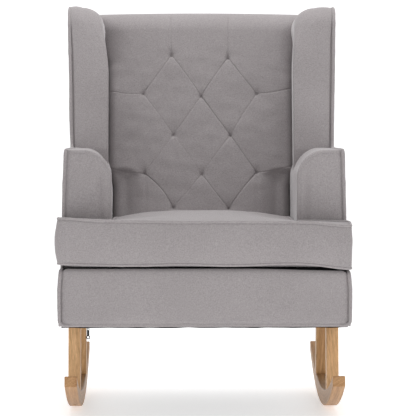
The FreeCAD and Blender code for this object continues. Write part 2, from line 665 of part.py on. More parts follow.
def build_base(frame, sides):
    """Front panel, and the deck under the cushion."""
    half, low = side_x(BASE_TOP, PANEL), BASE_BOTTOM + 1
    upper = [(half, BASE_TOP, ARM_CORNER_RADIUS), (half, low, BASE_CORNER_RADIUS)]
    panel = prism_y(mirrored(upper) + upper, FRONT_FACE_Y, FRONT_RAIL_Y)
    welts = group([tube(welt_path(side), WELT_RADIUS) for side in SIDES])
    save("front_panel", panel.cut(welts))
    deck_low = RAIL_HIGH_Z + CLIP_STEEL
    body = box(-PLY_X0, PLY_X0, ARM_BOARD_Y, back_y(DECK_TOP, POST_DEPTH_0), deck_low, DECK_TOP)
    ears = box(-half, half, FRONT_RAIL_Y, ARM_BOARD_Y, deck_low, DECK_TOP)
    deck = body.fuse(ears).removeSplitter().cut(welts)
    save("seat_deck", deck.cut(group(list(frame.values()))).cut(sides))


# ---- Dust cover and its zip -----------------------------------------------------------------------------
ZIP_X = -279.0
ZIP_FRONT_Y, ZIP_REAR_Y = -367.0, 120.0
ZIP_PARK_Y = -357.0
ZIP_HALF = 4.0
ZIP_SLOT_HALF = 0.8
ZIP_SLOT_END = 3.0
ZIP_STANDS_OUT = 0.6
ZIP_PLAY = 0.4
SLIDER_PLATE = 1.5
SLIDER_HALF_WIDTH, SLIDER_HALF_LENGTH = 4.5, 6.0
WEB_HALF_LENGTH = 5.0
BAIL_RADIUS = 0.8
BAIL_HALF = 4.0
BAIL_DROP = 5.4
BAIL_CORNER = 2.0
PULL_HALF_THICKNESS = 0.8
PULL_HALF_WIDTH = 2.9
EYE_HALF_WIDTH, EYE_DEPTH = 1.4, 6.0
PULL_NECK, PULL_FOOT = 7.6, 20.0
RING_DROP, RING_RADIUS, RING_HOLE_RADIUS = 23.5, 4.8, 2.7


def build_underside():
    """Dust cover and its zip: chain, slider and pull."""
    half = side_x(BASE_BOTTOM, PANEL) - 2
    low = BASE_BOTTOM - DUST_THICKNESS
    cover = box(-half, half, FRONT_RAIL_Y, REAR_BOTTOM_Y - PANEL, low, BASE_BOTTOM)
    slit = box(ZIP_X - ZIP_HALF, ZIP_X + ZIP_HALF, ZIP_FRONT_Y, ZIP_REAR_Y, low - 1, BASE_BOTTOM)
    cover = cover.cut(slit)
    for side in SIDES:
        for place in (FRONT_LEG, REAR_LEG):
            cover = cover.cut(sided(hanger_bolt(place), side))
    save("dust_cover", cover)
    chain_low = low - ZIP_STANDS_OUT
    chain = box(ZIP_X - ZIP_HALF, ZIP_X + ZIP_HALF, ZIP_FRONT_Y, ZIP_REAR_Y, chain_low, BASE_BOTTOM)
    slot_y0, slot_y1 = ZIP_FRONT_Y + ZIP_SLOT_END, ZIP_REAR_Y - ZIP_SLOT_END
    slot = box(ZIP_X - ZIP_SLOT_HALF, ZIP_X + ZIP_SLOT_HALF, slot_y0, slot_y1, 0, BIG)
    save("zip_chain", chain.cut(slot))
    under = chain_low - ZIP_PLAY
    save("zip_slider", zip_slider(under))
    save("zip_pull", zip_pull(under))


def slider_plate(z0):
    x0, x1 = ZIP_X - SLIDER_HALF_WIDTH, ZIP_X + SLIDER_HALF_WIDTH
    y0, y1 = ZIP_PARK_Y - SLIDER_HALF_LENGTH, ZIP_PARK_Y + SLIDER_HALF_LENGTH
    return prism_z([(x0, y0, 2), (x0, y1, 1.5), (x1, y1, 1.5), (x1, y0, 2)], z0, z0 + SLIDER_PLATE)


def zip_slider(under):
    """Plates under and over the chain, the web that joins them through its slot, and a bail for the pull."""
    lower, upper = slider_plate(under - SLIDER_PLATE), slider_plate(BASE_BOTTOM + ZIP_PLAY)
    web_half = ZIP_SLOT_HALF - ZIP_PLAY
    y0, y1 = ZIP_PARK_Y - WEB_HALF_LENGTH, ZIP_PARK_Y + WEB_HALF_LENGTH
    web = box(ZIP_X - web_half, ZIP_X + web_half, y0, y1, under - 0.5, BASE_BOTTOM + ZIP_PLAY + 0.5)
    foot, drop = under - SLIDER_PLATE / 2, under - BAIL_DROP
    corners = [(ZIP_PARK_Y - BAIL_HALF, foot, 0), (ZIP_PARK_Y - BAIL_HALF, drop, BAIL_CORNER),
               (ZIP_PARK_Y + BAIL_HALF, drop, BAIL_CORNER), (ZIP_PARK_Y + BAIL_HALF, foot, 0)]
    bail = tube([(V(ZIP_X, y, z), r) for y, z, r in corners], BAIL_RADIUS)
    return lower.fuse([upper, web, bail]).removeSplitter()


def pull_pivot_z(under):
    """Height of the pull's top bar, which rests on the bail."""
    return under - BAIL_DROP + BAIL_RADIUS + ZIP_PLAY + PULL_HALF_THICKNESS * math.sqrt(2)


def zip_pull(under):
    """Flat tab with a square eye over the bail and a ring at its foot."""
    y0, y1 = ZIP_PARK_Y - PULL_HALF_THICKNESS, ZIP_PARK_Y + PULL_HALF_THICKNESS
    x0, x1 = ZIP_X - PULL_HALF_WIDTH, ZIP_X + PULL_HALF_WIDTH
    z = pull_pivot_z(under)
    eye = prism_y([(x0, z + PULL_HALF_THICKNESS, 0.6), (x1, z + PULL_HALF_THICKNESS, 0.6),
                   (x1, z - PULL_NECK, 0), (x0, z - PULL_NECK, 0)], y0, y1)
    window = box(ZIP_X - EYE_HALF_WIDTH, ZIP_X + EYE_HALF_WIDTH, y0 - 1, y1 + 1, z - EYE_DEPTH,
                 z - PULL_HALF_THICKNESS)
    tab = box(x0, x1, y0, y1, z - PULL_FOOT, z - PULL_NECK)
    ring = rod(V(ZIP_X, y0, z - RING_DROP), V(ZIP_X, y1, z - RING_DROP), RING_RADIUS)
    hole = rod(V(ZIP_X, y0 - 1, z - RING_DROP), V(ZIP_X, y1 + 1, z - RING_DROP), RING_HOLE_RADIUS)
    return eye.cut(window).fuse([tab, ring]).cut(hole).removeSplitter()


# ---- Loose seat cushion ---------------------------------------------------------------------------------
EAR_RADIUS = 14.0
CUSHION_LIFT = 1.5             # of its underside above the deck
CUSHION_ZIP_HALF_LENGTH, CUSHION_ZIP_HALF_WIDTH = 190.0, 8.0
CUSHION_ZIP_DEPTH = 12.0       # of the groove the zip lies in
TAPE_THICKNESS, TAPE_GAP = 1.4, 0.4
BODY_LENGTH, BODY_HALF_WIDTH, BODY_THICKNESS = 10.0, 5.0, 3.4
TAB_LENGTH, TAB_HALF_WIDTH, TAB_THICKNESS = 24.0, 2.8, 1.6


def cushion_outline(inset, z):
    """T-shaped plan at height z as (x, y, radius), with its rear edge along the inside back."""
    ear = HALF_WIDTH_BASE + CUSHION_GAP - inset
    body = ARM_INNER_X - CUSHION_GAP - inset
    front, shoulder = CUSHION_FRONT_Y + inset, ARM_FRONT_Y - WELT_RADIUS - 3.0 - inset
    rear = back_y(z) - CUSHION_GAP - inset
    right = [(ear, front, EAR_RADIUS), (ear, shoulder, 12), (body, shoulder, 5), (body, rear, 22)]
    return right + mirrored(right)


def cushion_zip(y, z):
    """Zip on the rear boxing whose outer face is at y: the groove it lies in, its chain and its slider."""
    half, wide = CUSHION_ZIP_HALF_LENGTH, CUSHION_ZIP_HALF_WIDTH
    deep = y - CUSHION_ZIP_DEPTH
    groove = box(-half, half, deep, BIG, z - wide, z + wide)
    chain = box(-half, half, deep, deep + TAPE_THICKNESS, z - wide, z + wide)
    face = deep + TAPE_THICKNESS + TAPE_GAP
    x0 = 4 - half
    body = box(x0, x0 + BODY_LENGTH, face, face + BODY_THICKNESS, z - BODY_HALF_WIDTH, z + BODY_HALF_WIDTH)
    tab_x, tab_y = x0 + BODY_LENGTH - 2, face + 1.0
    tab = box(tab_x, tab_x + TAB_LENGTH, tab_y, tab_y + TAB_THICKNESS, z - TAB_HALF_WIDTH, z + TAB_HALF_WIDTH)
    return groove, chain, body.fuse(tab).removeSplitter()


def build_cushion():
    blank = prism_z(cushion_outline(CROWN_INSET, SEAM_HIGH + 40), DECK_TOP + CUSHION_LIFT, CUSHION_CROWN)
    rear_plane = in_front_of_back(-CUSHION_GAP - CROWN_INSET)
    centre = V(0, CROWN_Y, CUSHION_CROWN - CROWN_RADIUS)
    dome = Part.makeSphere(CROWN_RADIUS, centre, V(0, 1, 0))
    pad = blank.common(rear_plane).common(dome)
    welts = {}
    for name, z in (("cushion_welt_lower", SEAM_LOW), ("cushion_welt_upper", SEAM_HIGH)):
        path = [(V(x, y, z), r) for x, y, r in cushion_outline(WELT_RADIUS, z)]
        joint = (path[-1][0] + path[0][0]) * 0.5
        welts[name] = tube([(joint, 0)] + path, WELT_RADIUS, closed=True)
        save(name, welts[name])
    zip_z = (SEAM_LOW + SEAM_HIGH) / 2
    groove, chain, slider = cushion_zip(back_y(zip_z) - CUSHION_GAP, zip_z)
    save("seat_cushion", pad.cut(list(welts.values()) + [groove]))
    save("cushion_zip", chain)
    save("cushion_zip_slider", slider)


def main():
    os.makedirs("parts", exist_ok=True)
    build_rockers()
    frame = build_frame()
    sides = build_sides(frame)
    build_back(frame, sides)
    build_base(frame, sides)
    build_underside()
    build_cushion()


main()
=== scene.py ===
"""Looks of the upholstered rocking chair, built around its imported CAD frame.

Shapes are worked out in millimetres in the row frame: +Z up, the sitter faces -Y, +X is the sitter's left.
"""

import json
import math

import bpy
import numpy as np
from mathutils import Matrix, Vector
from mathutils.geometry import delaunay_2d_cdt

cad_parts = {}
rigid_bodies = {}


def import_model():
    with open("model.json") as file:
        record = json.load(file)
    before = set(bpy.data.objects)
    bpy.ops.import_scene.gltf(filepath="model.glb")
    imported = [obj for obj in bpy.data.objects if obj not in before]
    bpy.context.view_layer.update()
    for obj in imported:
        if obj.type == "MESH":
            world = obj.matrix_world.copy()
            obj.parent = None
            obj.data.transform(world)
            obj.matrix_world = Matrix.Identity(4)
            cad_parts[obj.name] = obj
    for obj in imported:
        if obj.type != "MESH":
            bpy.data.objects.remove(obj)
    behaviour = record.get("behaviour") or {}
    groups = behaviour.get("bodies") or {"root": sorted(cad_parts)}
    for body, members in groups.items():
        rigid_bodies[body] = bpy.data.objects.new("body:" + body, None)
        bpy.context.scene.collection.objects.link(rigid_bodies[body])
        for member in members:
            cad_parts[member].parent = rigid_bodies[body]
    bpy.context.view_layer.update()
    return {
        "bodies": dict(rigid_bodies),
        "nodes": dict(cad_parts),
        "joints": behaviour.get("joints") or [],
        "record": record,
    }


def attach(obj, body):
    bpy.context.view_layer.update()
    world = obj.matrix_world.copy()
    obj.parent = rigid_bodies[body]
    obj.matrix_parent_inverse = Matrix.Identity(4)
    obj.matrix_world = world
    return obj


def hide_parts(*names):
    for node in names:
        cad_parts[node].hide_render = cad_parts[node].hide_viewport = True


MM = 0.001

# ---- Dimensions shared with the CAD ----
BASE_BOTTOM, BASE_TOP, ARM_TOP = 231.0, 366.0, 650.0
DECK_TOP, SEAM_LOW, SEAM_HIGH = 368.0, 380.0, 481.0
WING_TOP, BACK_TOP = 1018.0, 1005.0
HALF_BASE, HALF_BASE_TOP, HALF_ARM, HALF_WING = 350.0, 346.0, 337.5, 347.0
BASE_SHOULDER = BASE_TOP - 45.0        # above this the base draws in
ARM_INNER, WING_INNER = 232.0, 243.0
FRONT_Y, CUSHION_Y, ARM_Y = -407.0, -415.0, -333.0
WING_FRONT_Y, WING_TOP_Y, REAR_BOTTOM_Y = 15.0, 93.0, 204.0
RECLINE = math.radians(12.0)
BACK_THICKNESS = 116.0
WELT, SIDE_WELT = 3.6, 4.2
PANEL = 8.0
RUNNER_RADIUS = 1060.0

# ---- Upholstery details ----
TUFT_PITCH_X, TUFT_TOP_Z, TUFT_DROP, TUFT_ROWS = 150.0, 886.0, 99.5, 5
LEFT, RIGHT = 1, -1
CLOTH_FRAMES = 20
BASE_DIP = {LEFT: 5.0, RIGHT: 0.0}     # how far the base's top edge dips at its front corners
SIDES = {LEFT: "left", RIGHT: "right"}


# ---- Small maths ----
WAVES = 14                             # plane waves in a ripple
# How far fill keeps its points from the edge, from a line, and an extra point from the edge, in spacings.
EDGE_GAP, LINE_GAP, EXTRA_GAP = 0.6, 0.75, 0.3


def columns(parts):
    """The parts side by side as the columns of one array. A plain number fills its column."""
    count = max(len(part) for part in parts if np.ndim(part))
    return np.column_stack([part if np.ndim(part) else np.full(count, part) for part in parts])


def rear_y(z):
    """Outer face of the reclined back at a height."""
    return REAR_BOTTOM_Y + (z - BASE_BOTTOM) * math.tan(RECLINE)


def back_y(z):
    """Front plane of the reclined back at a height."""
    return rear_y(z) - BACK_THICKNESS / math.cos(RECLINE)


def side_x(z, inset=0.0):
    """Half the chair's width over its side panels at a height."""
    stations = [BASE_SHOULDER, BASE_TOP, ARM_TOP, WING_TOP]
    return np.interp(z, stations, [HALF_BASE, HALF_BASE_TOP, HALF_ARM, HALF_WING]) - inset


def smooth(t):
    t = np.clip(t, 0.0, 1.0)
    return t * t * (3 - 2 * t)


def bell(t):
    """Bump of height 1 at 0 that has faded out by about 2."""
    return np.exp(-t ** 2)


def ripple(points, wavelength, seed):
    """Smooth random field of about unit size: a sum of plane waves near one wavelength."""
    points = np.atleast_2d(points)
    rng = np.random.default_rng(seed)
    heading = rng.normal(size=(WAVES, points.shape[1]))
    heading /= np.linalg.norm(heading, axis=1)[:, None]
    rate = 2 * math.pi / (wavelength * rng.uniform(0.7, 1.6, WAVES))
    phase = rng.uniform(0, 2 * math.pi, WAVES)
    return np.sin(points @ (heading * rate[:, None]).T + phase).sum(1) / math.sqrt(WAVES / 2)


def segment_distance(points, line):
    """Distance of each point to a polyline, and how far along it the nearest place is, from 0 to 1."""
    a, b = line[:-1], line[1:]
    run = b - a
    lengths = np.linalg.norm(run, axis=1)
    starts = np.concatenate([[0.0], np.cumsum(lengths)])
    best = np.full(len(points), 1e9)
    along = np.zeros(len(points))
    for i in range(len(a)):
        t = np.clip(((points - a[i]) @ run[i]) / max(lengths[i] ** 2, 1e-9), 0, 1)
        d = np.linalg.norm(points - a[i] - t[:, None] * run[i], axis=1)
        near = d < best
        best = np.where(near, d, best)
        along = np.where(near, starts[i] + t * lengths[i], along)
    return best, along / starts[-1]


def edge_distance(points, loop):
    """Distance of each point to a closed loop."""
    return segment_distance(points, np.vstack([loop, loop[:1]]))[0]


def inside(points, loop):
    """Whether each 2-D point is inside a closed loop."""
    hit = np.zeros(len(points), bool)
    x, y = points[:, 0], points[:, 1]
    for (x0, y0), (x1, y1) in zip(loop, np.roll(loop, -1, axis=0)):
        if y0 == y1:
            continue
        crosses = (y0 > y) != (y1 > y)
        hit ^= crosses & (x < x0 + (y - y0) * (x1 - x0) / (y1 - y0))
    return hit


def loop_normals(loop):
    """Unit normals of a closed 2-D loop, pointing out of it."""
    tangent = np.roll(loop, -1, 0) - np.roll(loop, 1, 0)
    normal = np.stack([tangent[:, 1], -tangent[:, 0]], 1) / np.linalg.norm(tangent, axis=1)[:, None]
    return normal if ((loop - loop.mean(0)) * normal).sum() > 0 else -normal


def rounded_path(corners, spacing, closed=False, counts=None):
    """Points along straight runs joined by tangent arcs. A corner is (point, radius).
    Returns the points and how many each run got, so that a second path can match the first."""
    pts = [np.array(p, float) for p, _ in corners]
    n = len(pts)
    parts = []
    for i, (_, radius) in enumerate(corners):
        if radius <= 0 or (not closed and i in (0, n - 1)):
            parts.append((pts[i], pts[i], None))
            continue
        back, on = pts[i - 1] - pts[i], pts[(i + 1) % n] - pts[i]
        back, on = back / np.linalg.norm(back), on / np.linalg.norm(on)
        half = math.acos(np.clip(back @ on, -1, 1)) / 2
        reach = radius / math.tan(half)
        middle = (back + on) / np.linalg.norm(back + on)
        centre = pts[i] + middle * radius / math.sin(half)
        parts.append((pts[i] + back * reach, pts[i] + on * reach, centre))
    out, used = [], []
    k = 0
    for i in range(n):
        first, last, centre = parts[i]
        if centre is not None:
            u, w = first - centre, last - centre
            angle = math.acos(np.clip(u @ w / (u @ u), -1, 1))
            steps = counts[k] if counts else max(3, round(angle * np.linalg.norm(u) / spacing))
            for s in range(steps):
                t = s / steps
                swing = math.sin((1 - t) * angle) * u + math.sin(t * angle) * w
                out.append(centre + swing / math.sin(angle))
            used.append(steps)
            k += 1
        if closed or i < n - 1:
            nxt = parts[(i + 1) % n][0]
            steps = counts[k] if counts else max(1, round(np.linalg.norm(nxt - last) / spacing))
            out += [last + (nxt - last) * s / steps for s in range(steps)]
            used.append(steps)
            k += 1
    if not closed:
        out.append(parts[-1][1])
    return np.array(out), used


def fill(loop, spacing, lines=(), extra=()):
    """Even triangles inside a closed loop of 2-D points. Edges run along each of the lines, and extra is
    clouds of points to add. The first points of the result are the loop's own, in order."""
    loop = np.array(loop)
    low, high = loop.min(0), loop.max(0)
    grid = []
    for row, y in enumerate(np.arange(low[1], high[1], spacing * math.sqrt(3) / 2)):
        x = np.arange(low[0] + (row % 2) * spacing / 2, high[0], spacing)
        grid.append(columns([x, y]))
    grid = np.concatenate(grid)
    grid = grid[inside(grid, loop)]
    grid = grid[edge_distance(grid, loop) > spacing * EDGE_GAP]
    for line in lines:
        away, _ = segment_distance(grid, line)
        grid = grid[away > spacing * LINE_GAP]
    for cloud in extra:
        cloud = cloud[inside(cloud, loop)]
        grid = np.vstack([grid, cloud[edge_distance(cloud, loop) > spacing * EXTRA_GAP]])
    points = [loop] + [np.array(line) for line in lines] + [grid]
    edges = [(i, (i + 1) % len(loop)) for i in range(len(loop))]
    start = len(loop)
    for line in lines:
        edges += [(start + i, start + i + 1) for i in range(len(line) - 1)]
        start += len(line)
    flat = np.concatenate(points)
    co, _, faces, origin, _, _ = delaunay_2d_cdt([tuple(p) for p in flat], edges, [], 1, 1e-5, True)
    co = np.array([tuple(c) for c in co])
    place = {}
    for new, olds in enumerate(origin):
        for old in olds:
            place.setdefault(old, new)
    order = [place[i] for i in range(len(loop))]
    rest = [i for i in range(len(co)) if i not in set(order)]
    rank = {old: new for new, old in enumerate(order + rest)}
    tris = [tuple(rank[i] for i in f) for f in faces]
    co = co[order + rest]
    kept = inside(co[np.array(tris)].mean(axis=1), loop)
    return co, [t if turn(co[list(t)]) > 0 else t[::-1] for t, keep in zip(tris, kept) if keep]


def turn(tri):
    """Above 0 where a triangle's corners run anticlockwise."""
    (x0, y0), (x1, y1), (x2, y2) = tri[:3]
    return (x1 - x0) * (y2 - y0) - (x2 - x0) * (y1 - y0)


# ---- Pieces ----
TUBE_SIDES = 12
REAR_COARSENESS = 4                    # a slab's hidden rear has triangles this much larger


def new_object(name, data):
    """Adds an object to the scene."""
    obj = bpy.data.objects.new(name, data)
    bpy.context.scene.collection.objects.link(obj)
    return obj


def make_piece(name, shape, material, stands_for, body="chair"):
    """Turns (vertices, faces) into a piece that rides on a body and takes the place of CAD nodes."""
    verts, faces = shape
    mesh = bpy.data.meshes.new(name)
    mesh.from_pydata((np.asarray(verts) * MM).tolist(), [], [tuple(int(i) for i in f) for f in faces])
    mesh.validate()
    mesh.polygons.foreach_set("use_smooth", [True] * len(mesh.polygons))
    mesh.materials.append(material)
    obj = new_object(name, mesh)
    outward(obj)
    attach(obj, body)
    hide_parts(*stands_for)
    return obj


def outward(obj):
    """Turns the faces of a closed mesh outwards."""
    bpy.context.view_layer.objects.active = obj
    obj.select_set(True)
    bpy.ops.object.mode_set(mode="EDIT")
    bpy.ops.mesh.select_all(action="SELECT")
    bpy.ops.mesh.normals_make_consistent(inside=False)
    bpy.ops.object.mode_set(mode="OBJECT")
    obj.select_set(False)


def puff(obj, held, pressure, reach):
    """Cloth run in which air pressure fills a cover out between its held seams, each vertex moving at most
    reach millimetres."""
    scene, mesh = bpy.context.scene, obj.data
    seams = obj.vertex_groups.new(name="held")
    seams.add([int(i) for i in np.nonzero(held)[0]], 1.0, "REPLACE")
    run = obj.modifiers.new("fill", "CLOTH")
    run.settings.quality, run.settings.mass = 5, 0.3
    run.settings.use_pressure, run.settings.uniform_pressure_force = True, pressure
    run.settings.vertex_group_mass = seams.name
    run.settings.effector_weights.gravity = 0.0
    run.point_cache.frame_start, run.point_cache.frame_end = 1, CLOTH_FRAMES
    for frame in range(1, CLOTH_FRAMES + 1):
        scene.frame_set(frame)
    settled = obj.evaluated_get(bpy.context.evaluated_depsgraph_get()).data
    start, end = np.empty(len(mesh.vertices) * 3), np.empty(len(mesh.vertices) * 3)
    mesh.vertices.foreach_get("co", start)
    settled.vertices.foreach_get("co", end)
    move = (end - start).reshape(-1, 3)
    length = np.linalg.norm(move, axis=1)
    move *= (np.minimum(length, reach * MM) / np.maximum(length, 1e-9))[:, None]
    obj.modifiers.remove(run)
    obj.vertex_groups.remove(seams)
    scene.frame_set(1)
    mesh.vertices.foreach_set("co", start + move.ravel())
    mesh.update()


class Shell:
    """Collects vertices and faces of one closed piece."""

    def __init__(self):
        self.verts, self.faces, self.count = [], [], 0

    def add(self, verts):
        verts = np.asarray(verts, float)
        self.verts.append(verts)
        first = self.count
        self.count += len(verts)
        return np.arange(first, self.count)

    def band(self, row_a, row_b, closed=True):
        n = len(row_a)
        for i in range(n if closed else n - 1):
            j = (i + 1) % n
            self.faces.append((row_a[i], row_a[j], row_b[j], row_b[i]))

    def patch(self, ids, tris, flip=False):
        for t in tris:
            f = tuple(ids[i] for i in t)
            self.faces.append(f[::-1] if flip else f)

    def all(self):
        return np.concatenate(self.verts), self.faces


def slab(loop, spacing, front, rim_rows, back, lines=(), extra=()):
    """Closed pad from a 2-D loop. front(points2d, edge distance) and back(points2d) give 3-D points, and
    rim_rows is a list of functions of the loop that give the 3-D rings between them."""
    shell = Shell()
    flat, tris = fill(loop, spacing, lines, extra)
    away = edge_distance(flat, loop)
    away[:len(loop)] = 0.0
    face = shell.add(front(flat, away))
    shell.patch(face, tris)
    ring = face[:len(loop)]
    for row in rim_rows:
        following = shell.add(row(loop))
        shell.band(ring, following)
        ring = following
    rear_flat, rear_tris = fill(loop, spacing * REAR_COARSENESS)
    rear = shell.add(back(rear_flat))
    shell.patch(rear, rear_tris, flip=True)
    shell.band(ring, rear[:len(loop)])
    return shell.all()


def tube(points, radius, up, closed=False, seed=0):
    """Welt along a path, a little uneven, as cord under cloth is."""
    points = np.asarray(points, float)
    ahead = np.roll(points, -1, 0) - np.roll(points, 1, 0)
    if not closed:
        ahead[0], ahead[-1] = points[1] - points[0], points[-1] - points[-2]
    ahead /= np.linalg.norm(ahead, axis=1)[:, None]
    u = np.array(up, float) - ahead * (ahead @ np.array(up, float))[:, None]
    u /= np.linalg.norm(u, axis=1)[:, None]
    w = np.cross(ahead, u)
    thick = radius * (1 + 0.05 * ripple(points, 26.0, seed))
    angles = np.arange(TUBE_SIDES) * 2 * math.pi / TUBE_SIDES
    rings = (points[:, None] + (np.cos(angles)[:, None] * u[:, None] + np.sin(angles)[:, None] * w[:, None])
             * thick[:, None, None])
    shell = Shell()
    ids = [shell.add(ring) for ring in rings]
    for a, b in zip(ids, ids[1:]):
        shell.band(a, b)
    if closed:
        shell.band(ids[-1], ids[0])
    else:
        for ring, end, step in ((ids[0], points[0], -ahead[0]), (ids[-1], points[-1], ahead[-1])):
            cap = shell.add([end + step * radius * 0.6])
            shell.faces += [(ring[i], ring[(i + 1) % TUBE_SIDES], cap[0]) for i in range(TUBE_SIDES)]
    return shell.all()


def mirrored_loop(edge, top_count, foot_count):
    """Closed loop from its right-hand edge, which runs upwards, with even points along its top and foot."""
    top_x = np.linspace(edge[-1, 0], -edge[-1, 0], top_count)[1:-1]
    foot_x = np.linspace(-edge[0, 0], edge[0, 0], foot_count)[1:-1]
    return np.vstack([edge, columns([top_x, edge[-1, 1]]), (edge * [-1, 1])[::-1],
                      columns([foot_x, edge[0, 1]])])


def make_sided(name, node, side, shape, material):
    """Makes the piece of one side from a shape worked out for the left."""
    verts, faces = shape
    shape = (np.asarray(verts) * np.array([side, 1, 1]), faces)
    make_piece(f"{name}_{SIDES[side]}", shape, material, [f"{node}_{SIDES[side]}"])


# ---- Loose seat cushion ----
BOXING_BULGE, SHOULDER_BULGE, CROWN = 6.0, 3.0, 4.5
SEAM_INSET, OUTLINE_STEP = 2.0, 6.0
CUSHION_PRESSURE, CUSHION_REACH = 4.0, 22.0
EAR_LIFT_HIGH, EAR_LIFT_LOW = {LEFT: -12.0, RIGHT: 8.5}, {LEFT: -9.5, RIGHT: 1.0}
SIDE_SAG = 12.0                # how far the cushion's upper seam sinks along the arms


def cushion_corners(inset, z):
    """Corners and radii of the T-shaped outline, from the front left round the back to the front right."""
    ear, body = HALF_BASE + 2 - inset, ARM_INNER - 2 - inset
    front, shoulder = CUSHION_Y + inset, ARM_Y - WELT - 3 - inset
    rear = back_y(z) - 2 - inset
    half = [((ear, front), 16), ((ear, shoulder), 12), ((body, shoulder), 6), ((body, rear), 24)]
    return half + [((-x, y), r) for (x, y), r in reversed(half)]


def ear_lift(x, y, lift):
    """How far the cushion's front corners rise, or sink where the lift is below 0."""
    near_front = smooth((CUSHION_Y + 120 - y) / 120)
    side = smooth((np.abs(x) - 190) / 160) ** 1.6
    return near_front * side * np.where(x > 0, lift[LEFT], lift[RIGHT])


def upper_seam_z(x, y):
    """Height of the seam round the cushion's top, with its front corners' lift and its sag along the arms."""
    wave = 0.7 * ripple(columns([x, y]), 300.0, 4)
    sag = SIDE_SAG * smooth((np.abs(x) - 130) / 90) * smooth((y - ARM_Y - 20) / 90)
    return SEAM_HIGH + wave + ear_lift(x, y, EAR_LIFT_HIGH) - sag


def cushion(velvet):
    top, counts = rounded_path(cushion_corners(SEAM_INSET, SEAM_HIGH), OUTLINE_STEP, True)
    low, _ = rounded_path(cushion_corners(SEAM_INSET, SEAM_LOW), OUTLINE_STEP, True, counts)
    normal = loop_normals(top)
    outer = (top[:, 1] < ARM_Y + 20) | (np.abs(top[:, 0]) < 180)
    bulge = np.where(top[:, 1] > 0, 1.0, np.where(outer, BOXING_BULGE, SHOULDER_BULGE))
    bulge = np.convolve(np.r_[bulge[-9:], bulge, bulge[:9]], np.ones(19) / 19, "valid")
    low_z = SEAM_LOW + 0.8 * ripple(low, 240.0, 3) + ear_lift(low[:, 0], low[:, 1], EAR_LIFT_LOW)
    high_z = upper_seam_z(top[:, 0], top[:, 1])
    bulge = bulge * np.where((top[:, 0] > HALF_BASE - 30) & (top[:, 1] < ARM_Y + 20), 0.25, 1.0)

    def front(flat, away):
        rise = CROWN * (1 - np.exp(-away / 70.0)) * (0.75 + 0.25 * smooth((flat[:, 1] - CUSHION_Y) / 120))
        rise *= 1 - 0.45 * smooth((flat[:, 1] + 60) / 220)
        rise -= 3.0 * bell((away - 12) / 10.0) * (np.abs(flat[:, 0]) > 150) * (flat[:, 1] > ARM_Y)
        rumple = 0.7 * ripple(flat, 140.0, 5) + 0.25 * ripple(flat, 38.0, 6)
        return columns([flat, upper_seam_z(flat[:, 0], flat[:, 1]) + rise + rumple * smooth(away / 30)])

    def boxing(t):
        def row(_):
            out = bulge * math.sin(math.pi * t) ** 0.8
            at = columns([low * (1 - t) + top * t, low_z * (1 - t) + high_z * t])
            out = out * (1 + 0.10 * ripple(at, 90.0, 8)) + 0.35 * ripple(at, 45.0, 9) * math.sin(math.pi * t)
            at[:, :2] += normal * out[:, None]
            return at
        return row

    def under(flat):
        z = np.interp(edge_distance(flat, top), [0, 30], [SEAM_LOW, DECK_TOP + 3.5])
        flat = flat.copy()
        flat[:len(low)] = low
        z[:len(low)] = low_z
        return columns([flat, z])

    rows = [boxing(t) for t in np.linspace(0.93, 0.04, 16)]
    verts, faces = slab(top, 7.0, front, rows, under)
    pad = make_piece("cushion_cover", (verts, faces), velvet, ["seat_cushion"], "cushion")
    seams = np.vstack([columns([top, high_z]), columns([low, low_z])])
    near_seam = np.array([np.abs(seams - v).sum(1).min() < 4.0 for v in verts])
    puff(pad, near_seam | (verts[:, 2] < SEAM_LOW + 2), CUSHION_PRESSURE, CUSHION_REACH)
    for level, z, line_z in (("upper", SEAM_HIGH, high_z), ("lower", SEAM_LOW, low_z)):
        name = f"cushion_welt_{level}"
        path, _ = rounded_path(cushion_corners(WELT, z), OUTLINE_STEP, True, counts)
        shape = tube(columns([path, line_z]), WELT, (0, 0, 1), True, seed=11)
        make_piece("visual_" + name, shape, velvet, [name], "cushion")


# ---- Arms ----
ARM_FOLD = 222.5               # the stuffed front edge stands further in than the arm's inner wall
FOLD_INSET = 2.4
ARM_REAR = 235.0
# How far in and how far back each row lies that rounds the arm's front edge.
ARM_EDGE_ROWS = ((1.3, 0.9), (0.5, 1.9), (0.0, 3.4), (0.0, 6.0), (0.0, 10.0))


def arm_section():
    """Arm's section in X and Z, from the inside bottom over the top to the outer welt."""
    top_x = side_x(ARM_TOP, PANEL / 2 + 1)
    corners = [((ARM_FOLD, DECK_TOP), 0), ((ARM_FOLD, ARM_TOP + 1), 69), ((top_x, ARM_TOP + 1), 0)]
    path, _ = rounded_path(corners, 5.0)
    return path


